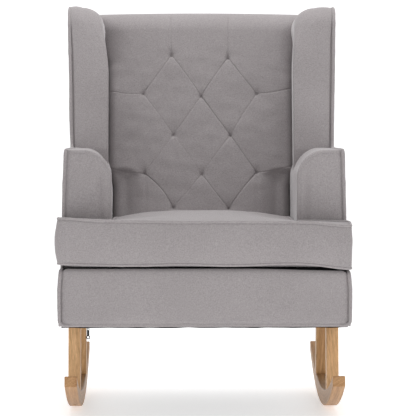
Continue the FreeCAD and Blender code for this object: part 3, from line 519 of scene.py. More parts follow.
def arm(side, velvet):
    seed = 20 + side
    edge = arm_section()
    closing_z = np.linspace(ARM_TOP - 2, DECK_TOP, 48)
    closing = columns([side_x(closing_z, PANEL / 2 + 1), closing_z])
    floor_x = np.linspace(closing[-1, 0], edge[0, 0], 20)[1:-1]
    outline = np.vstack([edge, closing, columns([floor_x, DECK_TOP])])
    folded = len(edge)
    normal = loop_normals(outline)
    soft = np.zeros(len(outline))
    soft[1:folded - 1] = 1.0
    loop = outline - normal * (FOLD_INSET * soft)[:, None]
    set_back = (ARM_INNER + 2.5 - ARM_FOLD) * np.clip(-normal[:, 0], 0, 1) * soft

    def at_y(inset, y):
        def row(_):
            drawn = outline - normal * (inset * soft)[:, None]
            depth = np.minimum(y, rear_y(drawn[:, 1]) - 12.0 - (ARM_REAR - y) * 0.1)
            out = columns([drawn[:, 0], depth, drawn[:, 1]])
            rumple = 1.0 * ripple(out, 150.0, seed) + 0.35 * ripple(out, 50.0, seed + 1)
            lift = soft * smooth((y - ARM_Y - 8) / 40) * rumple - set_back * smooth((y - ARM_Y - 9) / 75.0)
            out[:, 0] += normal[:, 0] * lift
            out[:, 2] += normal[:, 1] * lift
            return out
        return row

    def front(flat, _):
        rim = segment_distance(flat, loop[:folded])[0]
        seam = segment_distance(flat, loop[folded - 1:folded + len(closing)])[0]
        y = ARM_Y + 0.3 - 2.6 * (1 - np.exp(-rim / 14.0)) + 5.5 * bell(seam / 6.0)
        y -= 1.2 * bell((rim - 1.8) / 1.5) - 1.3 * bell((rim - 5.2) / 1.5)
        inner = flat[:, 0] - loop[0, 0]
        below = smooth((ARM_TOP - 18 - flat[:, 1]) / 60.0)
        y -= (3.2 * bell((inner - 12.0) / 8.0) - 4.5 * bell((inner - 26.0) / 4.0)) * below
        y += (0.5 * ripple(flat, 80.0, seed + 2) + 0.15 * ripple(flat, 25.0, seed + 3)) * smooth(rim / 12)
        return columns([flat[:, 0], y, flat[:, 1]])

    rows = [at_y(inset, ARM_Y + y) for inset, y in ARM_EDGE_ROWS]
    rows += [at_y(0.0, y) for y in np.linspace(ARM_Y + 16, ARM_REAR, 84)]

    def back(flat):
        near_wall = flat[:, 0] < ARM_INNER + 3
        y = np.minimum(ARM_REAR + 3.0, rear_y(flat[:, 1]) - 9.0)
        return columns([np.where(near_wall, ARM_INNER + 3, flat[:, 0]), y, flat[:, 1]])

    near_rim = [loop[1:folded - 1] - normal[1:folded - 1] * d for d in (1.2, 2.4, 4.0, 6.0, 8.5)]
    make_sided("arm_cover", "arm_pad", side, slab(loop, 6.0, front, rows, back, (), near_rim), velvet)


# ---- Wings ----
FOLD_LOW, FOLD_HIGH = {LEFT: 234.0, RIGHT: 240.0}, {LEFT: 240.0, RIGHT: 255.0}
WING_FOOT, WING_REAR = 588.0, 215.0
# The front edge rolls inwards. Its roll, across and down, is tight on the upright edge and wide over the top.
ROLL_X, ROLL_DOWN, TOP_ROLL_X, TOP_ROLL_DOWN = 5.0, 6.0, 50.0, 40.0
ROLL_STEPS, WELT_GROOVE = 9, 5.5


def wing_fold_x(z, side):
    """Where the wing's front face folds round to its inner face."""
    return FOLD_LOW[side] + (FOLD_HIGH[side] - FOLD_LOW[side]) * smooth((z - 840) / 150.0)


def wing_rings(side):
    """Rows of the wing's padded edge, from its outer welt across and round the roll to its inner face."""
    corners = [((WING_FRONT_Y, WING_FOOT), 0), ((WING_FRONT_Y, ARM_TOP), 40),
               ((WING_TOP_Y, WING_TOP), 58), ((rear_y(BACK_TOP) - PANEL, BACK_TOP), 0)]
    path, _ = rounded_path(corners, 5.0)
    ahead = np.gradient(path, axis=0)
    inward = np.stack([ahead[:, 1], -ahead[:, 0]], 1) / np.linalg.norm(ahead, axis=1)[:, None]
    over = smooth((path[:, 1] - (WING_TOP - 115)) / 105.0)
    inner_x = wing_fold_x(path[:, 1], side)
    roll_x, roll_down = ROLL_X + TOP_ROLL_X * over, ROLL_DOWN + TOP_ROLL_DOWN * over
    outer_x = side_x(path[:, 1], PANEL / 2 + 1)
    rings = []
    for w in np.concatenate([[1.0, 0.985], np.linspace(0.97, 0.90, 8), np.linspace(0.87, 0.0, 16)]):
        x = (inner_x + roll_x) * (1 - w) + outer_x * w
        place = columns([x, path])
        belly = 3.0 * math.sin(math.pi * w) ** 0.7 + 0.9 * ripple(place, 110.0, 40 + side) * (w < 1)
        belly = belly - WELT_GROOVE * smooth((w - 0.90) / 0.06)
        place[:, 1:] -= inward * (belly * smooth(np.arange(len(path)) / 12))[:, None]
        rings.append(place)
    base = rings[-1].copy()
    for angle in np.linspace(0, math.pi / 2, ROLL_STEPS + 1)[1:]:
        place = base.copy()
        place[:, 0] -= roll_x * math.sin(angle)
        place[:, 1:] += inward * (roll_down * (1 - math.cos(angle)))[:, None]
        place[:, 1] = np.minimum(place[:, 1], rear_y(place[:, 2]) - PANEL)
        rings.append(place)
    return rings


def wing_wall(shell, ring, ring_ids, side, is_inner):
    """Fills the face within a ring. Returns the vertices down its rear and along its foot."""
    start, end = ring[0], ring[-1]
    down = np.linspace((end[1], end[2] - 14), (WING_REAR, WING_FOOT), 40)
    along = np.linspace((WING_REAR, WING_FOOT), (start[1], WING_FOOT), 30)[1:-1]
    down[:, 0] = np.minimum(down[:, 0], rear_y(down[:, 1]) - PANEL)
    flat, tris = fill(np.vstack([ring[:, 1:], down, along]), 6.0 if is_inner else 24.0)
    away, _ = segment_distance(flat, ring[:, 1:])
    if is_inner:
        edge_x = wing_fold_x(flat[:, 1], side) + 6.0 * smooth(away / 45)
    else:
        edge_x = side_x(flat[:, 1], PANEL / 2 + 1)
    new = shell.add(columns([edge_x, flat])[len(ring):])
    shell.patch(np.concatenate([ring_ids, new]), tris, flip=is_inner)
    return new[:len(down) + len(along)]


def wing(side, velvet):
    shell = Shell()
    rings = wing_rings(side)
    ids = [shell.add(ring) for ring in rings]
    for a, b in zip(ids, ids[1:]):
        shell.band(a, b, closed=False)
    a = wing_wall(shell, rings[0], ids[0], side, False)
    b = wing_wall(shell, rings[-1], ids[-1], side, True)
    shell.band(a, b, closed=False)
    shell.faces.append(tuple(r[-1] for r in ids) + (b[0], a[0]))
    shell.faces.append(tuple(r[0] for r in ids) + (b[-1], a[-1]))
    make_sided("wing_cover", "wing_pad", side, shell.all(), velvet)


# ---- Tufted inside back ----
SLOPE_FOOT_Z = DECK_TOP
# How far each tuft lies off a true lattice, row by row from the top.
TUFT_DRIFT = (((-4, 10), (-4, 3)),
              ((-3, 8), (0, 1), (-3, 9)),
              ((2, -2), (2, -3)),
              ((0, -3), (1, -6), (-5, 0)),
              ((1, 6), (-4, 4)))
BACK_ROLL = 55.0               # radius over the top of the back
# How hard each fold is drawn in, row by row: for every tuft the fold down to the right-hand side comes first.
FOLD_PULLS = ((0.75, 0.55, 0.8, 0.85),
              (0.25, 0.5, 1.0, 0.45),
              (0.35, 0.15, 0.35, 1.0),
              (1.0, 0.35, 0.65, 1.0))
BACK_SINK, BACK_CROWN, CROWN_RUN = 4.0, 3.0, 500.0
PAD_RISE, FOLD_STEP, GULLY_REACH, NOTCH_WIDTH = 4.5, 3.0, 34.0, 1.4
TAIL_RISE, TAIL_STRETCH, PUCKERS = 6.0, 2.6, 7


def tufts():
    """Tufts on the back as (x, height along the slope), each a little off a true lattice."""
    rows = []
    for row in range(TUFT_ROWS):
        xs = (-0.5, 0.5) if row % 2 == 0 else (-1, 0, 1)
        z = TUFT_TOP_Z - row * TUFT_DROP
        rows.append(np.array([(x * TUFT_PITCH_X, slope_v(z)) for x in xs]) + TUFT_DRIFT[row])
    return rows


def bowed(a, b, bow):
    """Line from a to b that bows sideways by the given amount at its middle."""
    a, b = np.array(a, float), np.array(b, float)
    run = b - a
    length = np.linalg.norm(run)
    t = np.linspace(0, 1, max(4, round(length / FOLD_STEP)))[:, None]
    across = np.array([-run[1], run[0]]) / length
    return a + run * t + across * bow * np.sin(math.pi * t)


def back_creases(rows, top_v):
    """Folds between neighbouring tufts, and from the outer ones to the edges, each as (line, pull)."""
    folds = []
    for row, pulls in enumerate(FOLD_PULLS):
        pairs = [(p, q) for p in rows[row] for q in rows[row + 1] if abs(p[0] - q[0]) < TUFT_PITCH_X * 0.75]
        for (p, q), pull in zip(pairs, pulls):
            low_outer = row == 3 and abs(p[0]) > TUFT_PITCH_X * 0.75
            bow = (8.0 if p[0] < 0 else 2.0) if low_outer else 1.2
            folds.append((bowed(p, q, math.copysign(bow, -p[0] - q[0])), pull))
    for p in rows[0]:
        folds.append((bowed(p, (p[0] * 1.02, top_v), 1.0), 0.75))
    for row, rise, pull in ((rows[1], (9.0, 17.0), (0.45, 0.7)), (rows[3], (15.0, 18.0), (0.55, 0.75))):
        for k, p in enumerate((row[0], row[-1])):
            out = math.copysign(1.0, p[0])
            folds.append((bowed(p, (out * (WING_INNER - 4), p[1] + rise[k]), -4.0 * out), pull[k]))
    return folds


def fold_depth(flat, folds):
    """Depth of the wide gullies along the folds, and of the narrow notch at the bottom of each."""
    gully = np.zeros(len(flat))
    notch = np.zeros(len(flat))
    for line, pull in folds:
        d, s = segment_distance(flat, line)
        ends = (2 * s - 1) ** 2
        gully += (pull * (0.6 + 1.6 * ends) * np.clip(1 - d / GULLY_REACH, 0, 1) ** 2.2) ** 3
        notch = np.maximum(notch, pull * (1.6 + 1.6 * ends) * bell(d / NOTCH_WIDTH))
    return np.cbrt(gully), notch


def dimple_depth(flat, tuft):
    """Depth at a tuft: a wide hollow, the sharp pinch with its tail upwards, and puckers fanning out."""
    across, up = (flat - tuft).T
    r = np.hypot(across, up)
    tail = np.hypot(across, (up - TAIL_RISE) / TAIL_STRETCH)
    pucker = 0.35 * np.sin(np.arctan2(up, across) * PUCKERS + tuft[0]) * bell((r - 13) / 8.0)
    return 1.8 * bell(r / 17.0) + 5.2 * bell(r / 4.2) + 2.1 * bell(tail / 3.6) - pucker


def edge_fall(flat, half):
    """How far the pad falls away towards its sides, most of all near its upper corners."""
    corner = bell((flat[:, 1] - slope_v(940)) / 72.0)
    corner = corner * np.where(flat[:, 0] < 0, 1.0, 0.7)
    reach = 24.0 + 62.0 * corner
    drop = (36.0 + 13.0 * corner) * smooth((slope_v(1010) - flat[:, 1]) / 30.0)
    side = half - np.abs(flat[:, 0])
    return drop * (1 - np.sqrt(1 - np.clip(1 - side / reach, 0, 1) ** 2))


def back_height(flat, folds, tuft_rows, half):
    """How far the cover stands out from the plane of the inside back."""
    off_centre, v = np.abs(flat[:, 0]), flat[:, 1]
    gully, notch = fold_depth(flat, folds)
    height = PAD_RISE - gully - notch
    for tuft in np.vstack(tuft_rows):
        height -= dimple_depth(flat, tuft)
    height -= edge_fall(flat, half)
    row_four = slope_v(TUFT_TOP_Z - 3 * TUFT_DROP)
    low_side = smooth((off_centre - TUFT_PITCH_X * 0.98) / 55.0)
    height -= 13.0 * low_side * smooth((row_four + 13.0 * low_side - v) / 16.0)
    under = smooth((row_four - 4 - v) / 14.0)
    inner_step = np.clip((off_centre - TUFT_PITCH_X + 16.0) / 16.0, 0, 1) * (off_centre < TUFT_PITCH_X)
    height -= (3.5 * inner_step ** 2 + 2.2 * bell((off_centre - 196.0) / 9.0)) * under
    below_top = smooth((slope_v(960) - v) / 90.0)
    return height + (0.7 * ripple(flat, 150.0, 50) + 0.25 * ripple(flat, 40.0, 51)) * below_top


def slope_v(z):
    """Height along the slope of the back for a height above the floor."""
    return (z - SLOPE_FOOT_Z) / math.cos(RECLINE)


def back_place(flat, height):
    """From the flat pattern of the back, up its slope and over the top roll, to the row frame."""
    x, v = flat[:, 0], flat[:, 1]
    sin, cos = math.sin(RECLINE), math.cos(RECLINE)
    crown = BACK_CROWN * (1 - (x / WING_INNER) ** 2)
    centre_z = BACK_TOP - BACK_ROLL
    roll_v = (centre_z + BACK_ROLL * sin - SLOPE_FOOT_Z) / cos
    foot_y = back_y(SLOPE_FOOT_Z)
    centre_y = foot_y + roll_v * sin + BACK_ROLL * cos
    up = np.minimum(v, roll_v)
    angle = np.clip((v - roll_v) / BACK_ROLL, 0, math.pi / 2 - RECLINE)
    flat_run = np.maximum(v - roll_v - BACK_ROLL * (math.pi / 2 - RECLINE), 0)
    ny, nz = -np.cos(RECLINE + angle), np.sin(RECLINE + angle)
    on_slope = v <= roll_v
    y = np.where(on_slope, foot_y + up * sin, centre_y + ny * BACK_ROLL + flat_run) + ny * height
    z = np.where(on_slope, SLOPE_FOOT_Z + up * cos, centre_z + nz * BACK_ROLL) + nz * height
    z = z - BACK_SINK * smooth(v / CROWN_RUN)
    return columns([x, y, z + crown * smooth(v / CROWN_RUN)])


def inside_back(velvet):
    roll_v = slope_v(BACK_TOP - BACK_ROLL + BACK_ROLL * math.sin(RECLINE))
    top_v = roll_v + BACK_ROLL * (math.pi / 2 - RECLINE) + 65.0
    half_low, half_mid, half_high = ARM_INNER + 3.0, FOLD_LOW[RIGHT] + 7.0, FOLD_HIGH[RIGHT] + 28.0
    corners = [((half_low, 6), 0), ((half_low, slope_v(ARM_TOP - 95)), 20),
               ((half_mid, slope_v(ARM_TOP - 60)), 20),
               ((half_mid, slope_v(880)), 40), ((half_high, slope_v(985)), 40), ((half_high, top_v), 0)]
    edge, _ = rounded_path(corners, 5.0)
    loop = mirrored_loop(edge, 106, 90)
    rows = tufts()
    folds = back_creases(rows, roll_v + 40.0)
    cloud = []
    for line, _ in folds:
        across = np.gradient(line, axis=0)
        across = np.stack([-across[:, 1], across[:, 0]], 1) / np.linalg.norm(across, axis=1)[:, None]
        cloud += [line + across * o for o in (-3.4, -2.0, -1.0, 1.0, 2.0, 3.4)]

    def half_at(v):
        return np.interp(v, edge[:, 1], edge[:, 0])

    def front(flat, _):
        return back_place(flat, back_height(flat, folds, rows, half_at(flat[:, 1])))

    def rim(_):
        return back_place(loop, -48.0 + 26.0 * smooth((loop[:, 1] - roll_v) / 60.0))

    def back(flat):
        return back_place(flat, -56.0 + 30.0 * smooth((flat[:, 1] - roll_v) / 60.0))

    shape = slab(loop, 4.5, front, [rim], back, [line[1:-1] for line, _ in folds], cloud)
    make_piece("inside_back_cover", shape, velvet, ["inside_back_pad"])


# ---- Panels of the outside ----
def side_corners(dip):
    """Corners and radii of the silhouette of base, arm and wing in Y and Z."""
    return [((FRONT_Y, BASE_BOTTOM), 16), ((FRONT_Y, BASE_TOP - dip), 10), ((ARM_Y, BASE_TOP), 5),
            ((ARM_Y, ARM_TOP), 14), ((WING_FRONT_Y, ARM_TOP), 18), ((WING_TOP_Y, WING_TOP), 60),
            ((rear_y(BACK_TOP), BACK_TOP), 14), ((rear_y(BASE_BOTTOM), BASE_BOTTOM), 6)]


def side_panel(side, velvet):
    loop, _ = rounded_path(side_corners(BASE_DIP[side]), 7.0, True)
    seed = 60 + side

    def front(flat, away):
        stuffed = 2.4 * smooth(away / 30) + 1.0 * ripple(flat, 210.0, seed) * smooth(away / 60) - 1.0
        return columns([side_x(flat[:, 1]) - 1.0 + stuffed, flat])

    def back(flat):
        return columns([side_x(flat[:, 1], PANEL), flat])

    make_sided("side_cover", "side_panel", side, slab(loop, 12.0, front, [], back), velvet)


def side_welt(side, velvet):
    stations = [(FRONT_Y - 1, BASE_BOTTOM + 3, 13), (FRONT_Y - 1, BASE_SHOULDER, 60),
                (FRONT_Y - 1, BASE_TOP - 2 - BASE_DIP[side], 12), (ARM_Y - 1, BASE_TOP - 2, 6),
                (ARM_Y - 1, ARM_TOP, 13), (WING_FRONT_Y - 1, ARM_TOP, 18), (WING_TOP_Y - 1, WING_TOP - 2, 60),
                (rear_y(BACK_TOP), BACK_TOP - 1, 16), (rear_y(BASE_BOTTOM), BASE_BOTTOM + 1, 0)]
    corners = [((side_x(z, PANEL / 2), y, z), r) for y, z, r in stations]
    start = ((side_x(BASE_BOTTOM, PANEL / 2) - 24, FRONT_Y + 2, BASE_BOTTOM + 3.5), 0)
    path, _ = rounded_path([start] + corners, 4.0)
    path[:, 0] += 0.4 * ripple(path, 160.0, 70 + side)
    make_sided("visual_side_welt", "side_welt", side, tube(path, SIDE_WELT, (1, 0, 0), seed=71), velvet)


def base_dip(flat):
    """How far a point of the front panel sinks with the dipped front corners, from its X and Z."""
    dip = np.where(flat[:, 0] > 0, BASE_DIP[LEFT], BASE_DIP[RIGHT])
    return dip * smooth((np.abs(flat[:, 0]) - 90) / 240) * smooth((flat[:, 1] - BASE_BOTTOM - 20) / 110)


def front_panel(velvet):
    half, top_half = side_x(BASE_BOTTOM, PANEL) + 1, side_x(BASE_TOP, PANEL) + 1
    corners = [((-half, BASE_BOTTOM), 12), ((half, BASE_BOTTOM), 12), ((half, BASE_SHOULDER), 60),
               ((top_half, BASE_TOP + 3), 14), ((-top_half, BASE_TOP + 3), 14), ((-half, BASE_SHOULDER), 60)]
    loop, _ = rounded_path(corners, 5.0, True)
    hem_x = np.arange(-half + 16, half - 15, 5.0)
    hem = [columns([hem_x, BASE_BOTTOM + up]) for up in (3.0, 5.3, 7.5, 9.7)]

    def front(flat, away):
        stuffed = 4.0 * (1 - np.exp(-away / 9.0)) + 0.9 * ripple(flat, 190.0, 80) * smooth(away / 30)
        up = flat[:, 1] - BASE_BOTTOM
        stuffed += 1.8 * bell((up - 3.0) / 2.6) - 0.9 * bell((up - 7.5) / 1.8)
        return columns([flat[:, 0], FRONT_Y + 2.5 - stuffed, flat[:, 1] - base_dip(flat)])

    def ring(depth):
        def row(edge):
            return columns([edge[:, 0], FRONT_Y + depth, edge[:, 1] - base_dip(edge)])
        return row

    def back(flat):
        return columns([flat[:, 0], FRONT_Y + 15.0, flat[:, 1] - base_dip(flat)])

    shape = slab(loop, 6.0, front, [ring(4.0), ring(7.0)], back, (), hem)
    make_piece("front_cover", shape, velvet, ["front_panel"])


def outside_back(velvet):
    def at(z):
        return side_x(z, PANEL - 1.0)
    heights = np.linspace(BASE_BOTTOM + 1, BACK_TOP - 5, 120)
    right = columns([at(heights), (heights - BASE_BOTTOM) / math.cos(RECLINE)])
    loop = mirrored_loop(right, 110, 110)

    def place(flat, out):
        y = REAR_BOTTOM_Y + flat[:, 1] * math.sin(RECLINE) + out * math.cos(RECLINE)
        z = BASE_BOTTOM + flat[:, 1] * math.cos(RECLINE) - out * math.sin(RECLINE)
        return columns([flat[:, 0], y, z])

    def front(flat, away):
        return place(flat, -1.5 + 1.5 * smooth(away / 20) + 0.8 * ripple(flat, 260.0, 90) * smooth(away / 60))

    def back(flat):
        return place(flat, -5.5)

    shape = slab(loop, 12.0, front, [], back)
    make_piece("outside_back_cover", shape, velvet, ["outside_back_panel"])


# ---- Underside and deck ----
def dust_cover(cloth):
    half, front, rear = 342.0, FRONT_Y + 3.0, REAR_BOTTOM_Y - 6.0
    corners = [(-half, front), (half, front), (half, rear), (-half, rear)]
    loop, _ = rounded_path([(corner, 8) for corner in corners], 8.0, True)

    flat, tris = fill(loop, 10.0)
    away = edge_distance(flat, loop)
    away[:len(loop)] = 0
    hang = 1.6 * smooth(away / 120) + 0.5 * ripple(flat, 60.0, 100) * smooth(1 - away / 80)
    shape = columns([flat, BASE_BOTTOM - 1.6 - hang - 0.6]), tris
    obj = make_piece("dust_cloth", shape, cloth, ["dust_cover"])


def deck(cloth):
    half = side_x(BASE_TOP, PANEL) - 2
    body, shoulder, rear = ARM_INNER + 20, ARM_Y + 16, back_y(DECK_TOP) + 20
    corners = [((-half, FRONT_Y + 14), 10), ((half, FRONT_Y + 14), 10), ((half, shoulder), 4),
               ((body, shoulder), 4), ((body, rear), 4), ((-body, rear), 4), ((-body, shoulder), 4),
               ((-half, shoulder), 4)]
    loop, _ = rounded_path(corners, 10.0, True)

    def front(flat, away):
        dip = base_dip(columns([flat[:, 0], BASE_TOP]))
        dip = dip * smooth((ARM_Y - flat[:, 1]) / 40)
        return columns([flat, DECK_TOP - 1.0 - dip + 0.8 * ripple(flat, 90.0, 110) * smooth(away / 20)])

    def back(flat):
        return columns([flat, DECK_TOP - 12.0])

    shape = slab(loop, 14.0, front, [], back)
    make_piece("deck_cloth_pad", shape, cloth, ["seat_deck"])


# ---- Materials ----
class Nodes:
    """Short way to write a material's node tree."""

    def __init__(self, name):
        self.material = bpy.data.materials.new(name)
        self.material.use_nodes = True
        self.tree = self.material.node_tree
        self.shader = self.tree.nodes["Principled BSDF"]

    def new(self, kind, inputs=None, **settings):
        node = self.tree.nodes.new(kind)
        for key, value in settings.items():
            setattr(node, key, value)
        for key, value in (inputs or {}).items():
            self.put(node.inputs[key], value)
        return node

    def put(self, socket, value):
        if isinstance(value, bpy.types.NodeSocket):
            self.tree.links.new(value, socket)
        else:
            socket.default_value = value

    def place(self, scale=(1, 1, 1)):
        coords = self.new("ShaderNodeTexCoord")
        mapping = self.new("ShaderNodeMapping", {"Vector": coords.outputs["Object"], "Scale": scale})
        return mapping.outputs[0]

    def noise(self, vector, scale, detail=3.0, rough=0.5):
        settings = {"Vector": vector, "Scale": scale, "Detail": detail, "Roughness": rough}
        return self.new("ShaderNodeTexNoise", settings).outputs["Fac"]

    def ramp(self, fac, stops):
        node = self.new("ShaderNodeValToRGB", {"Fac": fac})
        elements = node.color_ramp.elements
        while len(elements) < len(stops):
            elements.new(0.5)
        for element, (at, colour) in zip(elements, stops):
            element.position = at
            element.color = (*colour, 1.0)
        return node.outputs["Color"]

    def math(self, operation, a, b=0.0):
        node = self.new("ShaderNodeMath", operation=operation)
        self.put(node.inputs[0], a)
        self.put(node.inputs[1], b)
        return node.outputs[0]

    def mix(self, fac, a, b, blend="MIX"):
        node = self.new("ShaderNodeMix", data_type="RGBA", blend_type=blend)
        self.put(node.inputs[0], fac)
        self.put(node.inputs[6], a)
        self.put(node.inputs[7], b)
        return node.outputs[2]

    def bump(self, height, strength, distance, onto=None):
        node = self.new("ShaderNodeBump", {"Height": height, "Strength": strength, "Distance": distance})
        if onto is not None:
            self.put(node.inputs["Normal"], onto)
        return node.outputs["Normal"]

    def finish(self, **inputs):
        for key, value in inputs.items():
            self.put(self.shader.inputs[key.replace("_", " ")], value)
        return self.material


def cover_material():
    """Woven upholstery cloth: threads along each axis with slubs, a short nap and faint blotches."""
    m = Nodes("cover_weave")
    at = m.place()
    blotch = m.noise(at, 7.0, 3.0, 0.5)
    fleck = m.noise(at, 380.0, 3.0, 0.75)
    runs = ((150, 1500, 1500), (1500, 150, 1500), (1500, 1500, 150))
    threads = [m.noise(m.place(run), 1.0, 2.0, 0.55) for run in runs]
    weave = m.math("MULTIPLY", m.math("ADD", m.math("ADD", threads[0], threads[1]), threads[2]), 1 / 3)
    base = m.ramp(blotch, [(0.30, (0.340, 0.314, 0.317)), (0.70, (0.362, 0.335, 0.339))])
    flecks = m.ramp(fleck, [(0.28, (0.82, 0.82, 0.83)), (0.50, (1.0, 1.0, 1.0)), (0.72, (1.18, 1.175, 1.17))])
    cords = m.ramp(weave, [(0.36, (0.80, 0.80, 0.80)), (0.64, (1.16, 1.16, 1.16))])
    colour = m.mix(1.0, m.mix(1.0, base, flecks, "MULTIPLY"), cords, "MULTIPLY")
    normal = m.bump(weave, 0.5, 0.0006, m.bump(fleck, 0.25, 0.0006))
    return m.finish(Base_Color=colour, Normal=normal, Roughness=0.92, Sheen_Weight=0.6, Sheen_Roughness=0.35,
                    Sheen_Tint=(0.95, 0.93, 0.94, 1.0), Specular_IOR_Level=0.15)


def wood_material(name, along, light, dark, scale=1.0):
    """Straight-grained wood. along is the grain's axis: 0, 1 or 2, or "arc" round the runner's centre."""
    m = Nodes(name)
    coords = m.new("ShaderNodeTexCoord").outputs["Object"]
    parts = m.new("ShaderNodeSeparateXYZ", {"Vector": coords})
    x, y, z = (parts.outputs[axis] for axis in "XYZ")
    if along == "arc":
        lift = m.math("SUBTRACT", z, RUNNER_RADIUS * MM)
        radius = m.math("SQRT", m.math("ADD", m.math("POWER", y, 2.0), m.math("POWER", lift, 2.0)))
        run, across, other = y, radius, x
    else:
        run, across, other = ((x, y, z), (y, x, z), (z, x, y))[along]
    skewed = m.math("ADD", across, m.math("MULTIPLY", other, 0.55))

    def stretched(across_rate, run_rate):
        joined = m.new("ShaderNodeCombineXYZ", {"X": m.math("MULTIPLY", skewed, across_rate * scale),
                                                "Y": m.math("MULTIPLY", other, 0.45 * across_rate * scale),
                                                "Z": m.math("MULTIPLY", run, run_rate * scale)})
        return joined.outputs[0]

    figure = m.noise(stretched(75.0, 2.6), 1.0, 4.0, 0.6)
    pores = m.noise(stretched(800.0, 20.0), 1.0, 3.0, 0.6)
    tone = m.noise(m.place((4, 4, 4)), 1.0, 2.0)
    bent = m.math("ADD", m.math("MULTIPLY", skewed, 760.0 * scale), m.math("MULTIPLY", figure, 5.0))
    rings = m.math("SINE", bent)
    base = m.ramp(figure, [(0.32, dark), (0.68, light)])
    for fac, stops in ((rings, [(0.0, (0.94, 0.92, 0.89)), (0.8, (1.04, 1.04, 1.04))]),
                       (pores, [(0.34, (0.74, 0.69, 0.62)), (0.56, (1.05, 1.05, 1.05))]),
                       (tone, [(0.35, (0.92, 0.91, 0.90)), (0.65, (1.06, 1.06, 1.05))])):
        base = m.mix(1.0, base, m.ramp(fac, stops), "MULTIPLY")
    return m.finish(Base_Color=base, Normal=m.bump(pores, 0.25, 0.0004), Roughness=0.45,
                    Specular_IOR_Level=0.35)


def cloth_material(name, colour, thread):
    """Plain cloth with a crossed-thread pattern at the given threads per metre."""
    m = Nodes(name)
    at = m.place()
    warp = m.new("ShaderNodeTexWave", {"Vector": at, "Scale": thread, "Distortion": 0.6}, bands_direction="X")
    weft = m.new("ShaderNodeTexWave", {"Vector": at, "Scale": thread, "Distortion": 0.6}, bands_direction="Y")
    weave = m.math("MULTIPLY", warp.outputs["Fac"], weft.outputs["Fac"])
    blotch = m.noise(at, 45.0, 4.0)
    lighter = tuple(min(1.0, c * 1.6 + 0.004) for c in colour)
    shade = m.mix(blotch, (*colour, 1.0), (*lighter, 1.0))
    return m.finish(Base_Color=shade, Normal=m.bump(weave, 0.4, 0.0004), Roughness=0.95, Sheen_Weight=0.1,
                    Specular_IOR_Level=0.2)


def metal_material(name, colour, rough, metallic=1.0):
    m = Nodes(name)
    scuff = m.noise(m.place(), 260.0, 4.0)
    shade = m.ramp(scuff, [(0.35, tuple(c * 0.85 for c in colour)), (0.65, colour)])
    uneven = m.new("ShaderNodeMapRange", {"Value": scuff, "To Min": rough * 0.8, "To Max": rough * 1.2})
    return m.finish(Base_Color=shade, Metallic=metallic, Roughness=uneven.outputs[0],
                    Normal=m.bump(scuff, 0.1, 0.0002))


def paint_cad_nodes(frame):
    """Gives every CAD node that stays in view a finish. The front and rear legs get two copies of one wood,
    the front legs' painted lighter and the rear legs' painted darker, as painted light and painted shade.
    """
    steel = metal_material("spring_steel", (0.25, 0.25, 0.26), 0.4)
    zinc = metal_material("zinc_steel", (0.60, 0.61, 0.63), 0.3)
    enamel = metal_material("zip_enamel", (0.02, 0.02, 0.021), 0.35, 0.6)
    tape = cloth_material("zip_tape", (0.012, 0.012, 0.013), 900.0)
    straps = cloth_material("strap_cloth", (0.55, 0.50, 0.42), 500.0)
    twine = cloth_material("tuft_twine", (0.16, 0.15, 0.15), 1200.0)
    # The legs are one wood in two copies: the front copy is painted lighter as painted light, and the rear
    # copy darker as painted shade.
    front_leg_painted_light_wood = wood_material("front_leg_painted_light_wood", 2, (0.860, 0.555, 0.300), (0.640, 0.370, 0.175))
    rear_leg_painted_shade_wood = wood_material("rear_leg_painted_shade_wood", 2, (0.640, 0.390, 0.190), (0.440, 0.235, 0.095))
    runner_wood = wood_material("runner_wood", "arc", (0.510, 0.300, 0.145), (0.360, 0.190, 0.082))
    timbers = {axis: wood_material(f"frame_timber_{axis}", axis, (0.56, 0.40, 0.24), (0.42, 0.28, 0.15))
               for axis in (0, 1, 2)}
    board = wood_material("hardboard", 1, (0.16, 0.09, 0.05), (0.11, 0.06, 0.03), 2.0)
    finishes = ((runner_wood, "rocker_runner"), (front_leg_painted_light_wood, "front_leg"), (rear_leg_painted_shade_wood, "rear_leg"),
                (timbers[0], "seat_front_rail seat_rear_rail back_top_rail back_lower_rail"),
                (timbers[1], "seat_side_rail corner_blocks arm_top_board"),
                (timbers[2], "back_post leg_dowels side_frame arm_front_board wing_front_board"),
                (board, "arm_liner"), (straps, "back_webbing"), (twine, "tuft_ties"),
                (steel, "seat_springs spring_clips"), (zinc, "leg_bolts leg_nuts leg_washers runner_screws"),
                (tape, "zip_chain cushion_zip"), (enamel, "zip_slider zip_pull cushion_zip_slider"))
    kinds = {stem: finish for finish, stems in finishes for stem in stems.split()}
    for name, node in frame["nodes"].items():
        stem = name.removesuffix("_left").removesuffix("_right")
        if stem in kinds:
            node.data.materials.clear()
            node.data.materials.append(kinds[stem])


# ---- Stage ----
FLOOR_GLOW, STUDIO_GLOW = 0.52, 0.55
# Soft lights as place, aim, side in metres and power in watts.
LIGHTS = {"front_left": ((-1.2, -4.8, 1.5), (0, 0, 0.5), 1.5, 6.0),
          "front_right": ((1.5, -4.6, 1.3), (0, 0, 0.5), 1.5, 14.0),
          "top": ((0.0, 0.0, 3.4), (0, -0.2, 0.5), 1.6, 52.0)}
CAMERA_PLACE, LENS = (-0.085, -5.735, 0.716), 194.5
CAMERA_PITCH, CAMERA_YAW = math.radians(-2.17), math.radians(-0.995)


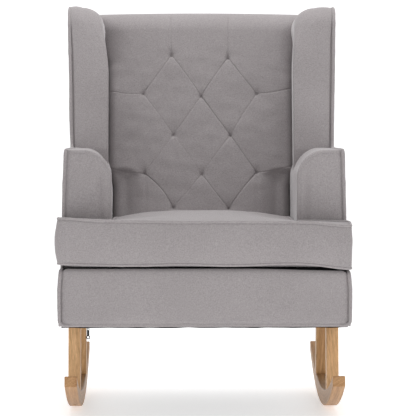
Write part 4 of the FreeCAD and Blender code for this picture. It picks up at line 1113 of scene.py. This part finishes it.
def stage():
    """Floor that curves up behind the camera's view."""
    mesh = bpy.data.meshes.new("floor")
    reach, rise, bend = 14.0, 9.0, 3.0
    profile = [(-reach, 0.0), (reach - bend, 0.0)]
    for angle in np.radians(range(6, 91, 6)):
        profile.append((reach - bend + bend * math.sin(angle), bend - bend * math.cos(angle)))
    profile.append((reach, rise))
    verts = [(x, y, z) for y, z in profile for x in (-reach, reach)]
    faces = [(2 * i, 2 * i + 1, 2 * i + 3, 2 * i + 2) for i in range(len(profile) - 1)]
    mesh.from_pydata(verts, [], faces)
    mesh.polygons.foreach_set("use_smooth", [True] * len(mesh.polygons))
    m = Nodes("pale_floor")
    faint = m.noise(m.place((1, 1, 1)), 3.0, 2.0)
    pale = m.ramp(faint, [(0.3, (0.90, 0.90, 0.90)), (0.7, (0.92, 0.92, 0.92))])
    mesh.materials.append(m.finish(Base_Color=pale, Roughness=0.9, Specular_IOR_Level=0.1,
                                   Emission_Color=(1.0, 1.0, 1.0, 1.0), Emission_Strength=FLOOR_GLOW))
    new_object("floor", mesh)


def lights():
    scene = bpy.context.scene
    world = bpy.data.worlds.new("studio")
    scene.world = world
    world.use_nodes = True
    backdrop = world.node_tree.nodes["Background"].inputs
    backdrop["Color"].default_value = (1.0, 1.0, 1.0, 1.0)
    backdrop["Strength"].default_value = STUDIO_GLOW
    for name, (place, aim, size, power) in LIGHTS.items():
        lamp = bpy.data.lights.new(name, "AREA")
        lamp.shape, lamp.size, lamp.energy = "SQUARE", size, power
        obj = new_object(name, lamp)
        obj.location = place
        obj.rotation_euler = (Vector(aim) - obj.location).to_track_quat("-Z", "Y").to_euler()
    scene.view_settings.view_transform = "Standard"
    scene.view_settings.look = "None"


def camera():
    data = bpy.data.cameras.new("camera")
    data.sensor_width, data.lens = 36.0, LENS
    obj = new_object("camera", data)
    obj.location = CAMERA_PLACE
    obj.rotation_euler = (math.pi / 2 + CAMERA_PITCH, 0.0, CAMERA_YAW)
    bpy.context.scene.camera = obj


def main():
    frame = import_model()
    velvet = cover_material()
    paint_cad_nodes(frame)
    cushion(velvet)
    inside_back(velvet)
    for side in SIDES:
        arm(side, velvet)
        wing(side, velvet)
        side_panel(side, velvet)
        side_welt(side, velvet)
    front_panel(velvet)
    outside_back(velvet)
    dust_cover(cloth_material("dust_nonwoven", (0.010, 0.010, 0.011), 1500.0))
    deck(cloth_material("deck_black", (0.010, 0.010, 0.010), 700.0))
    stage()
    lights()
    camera()


main()
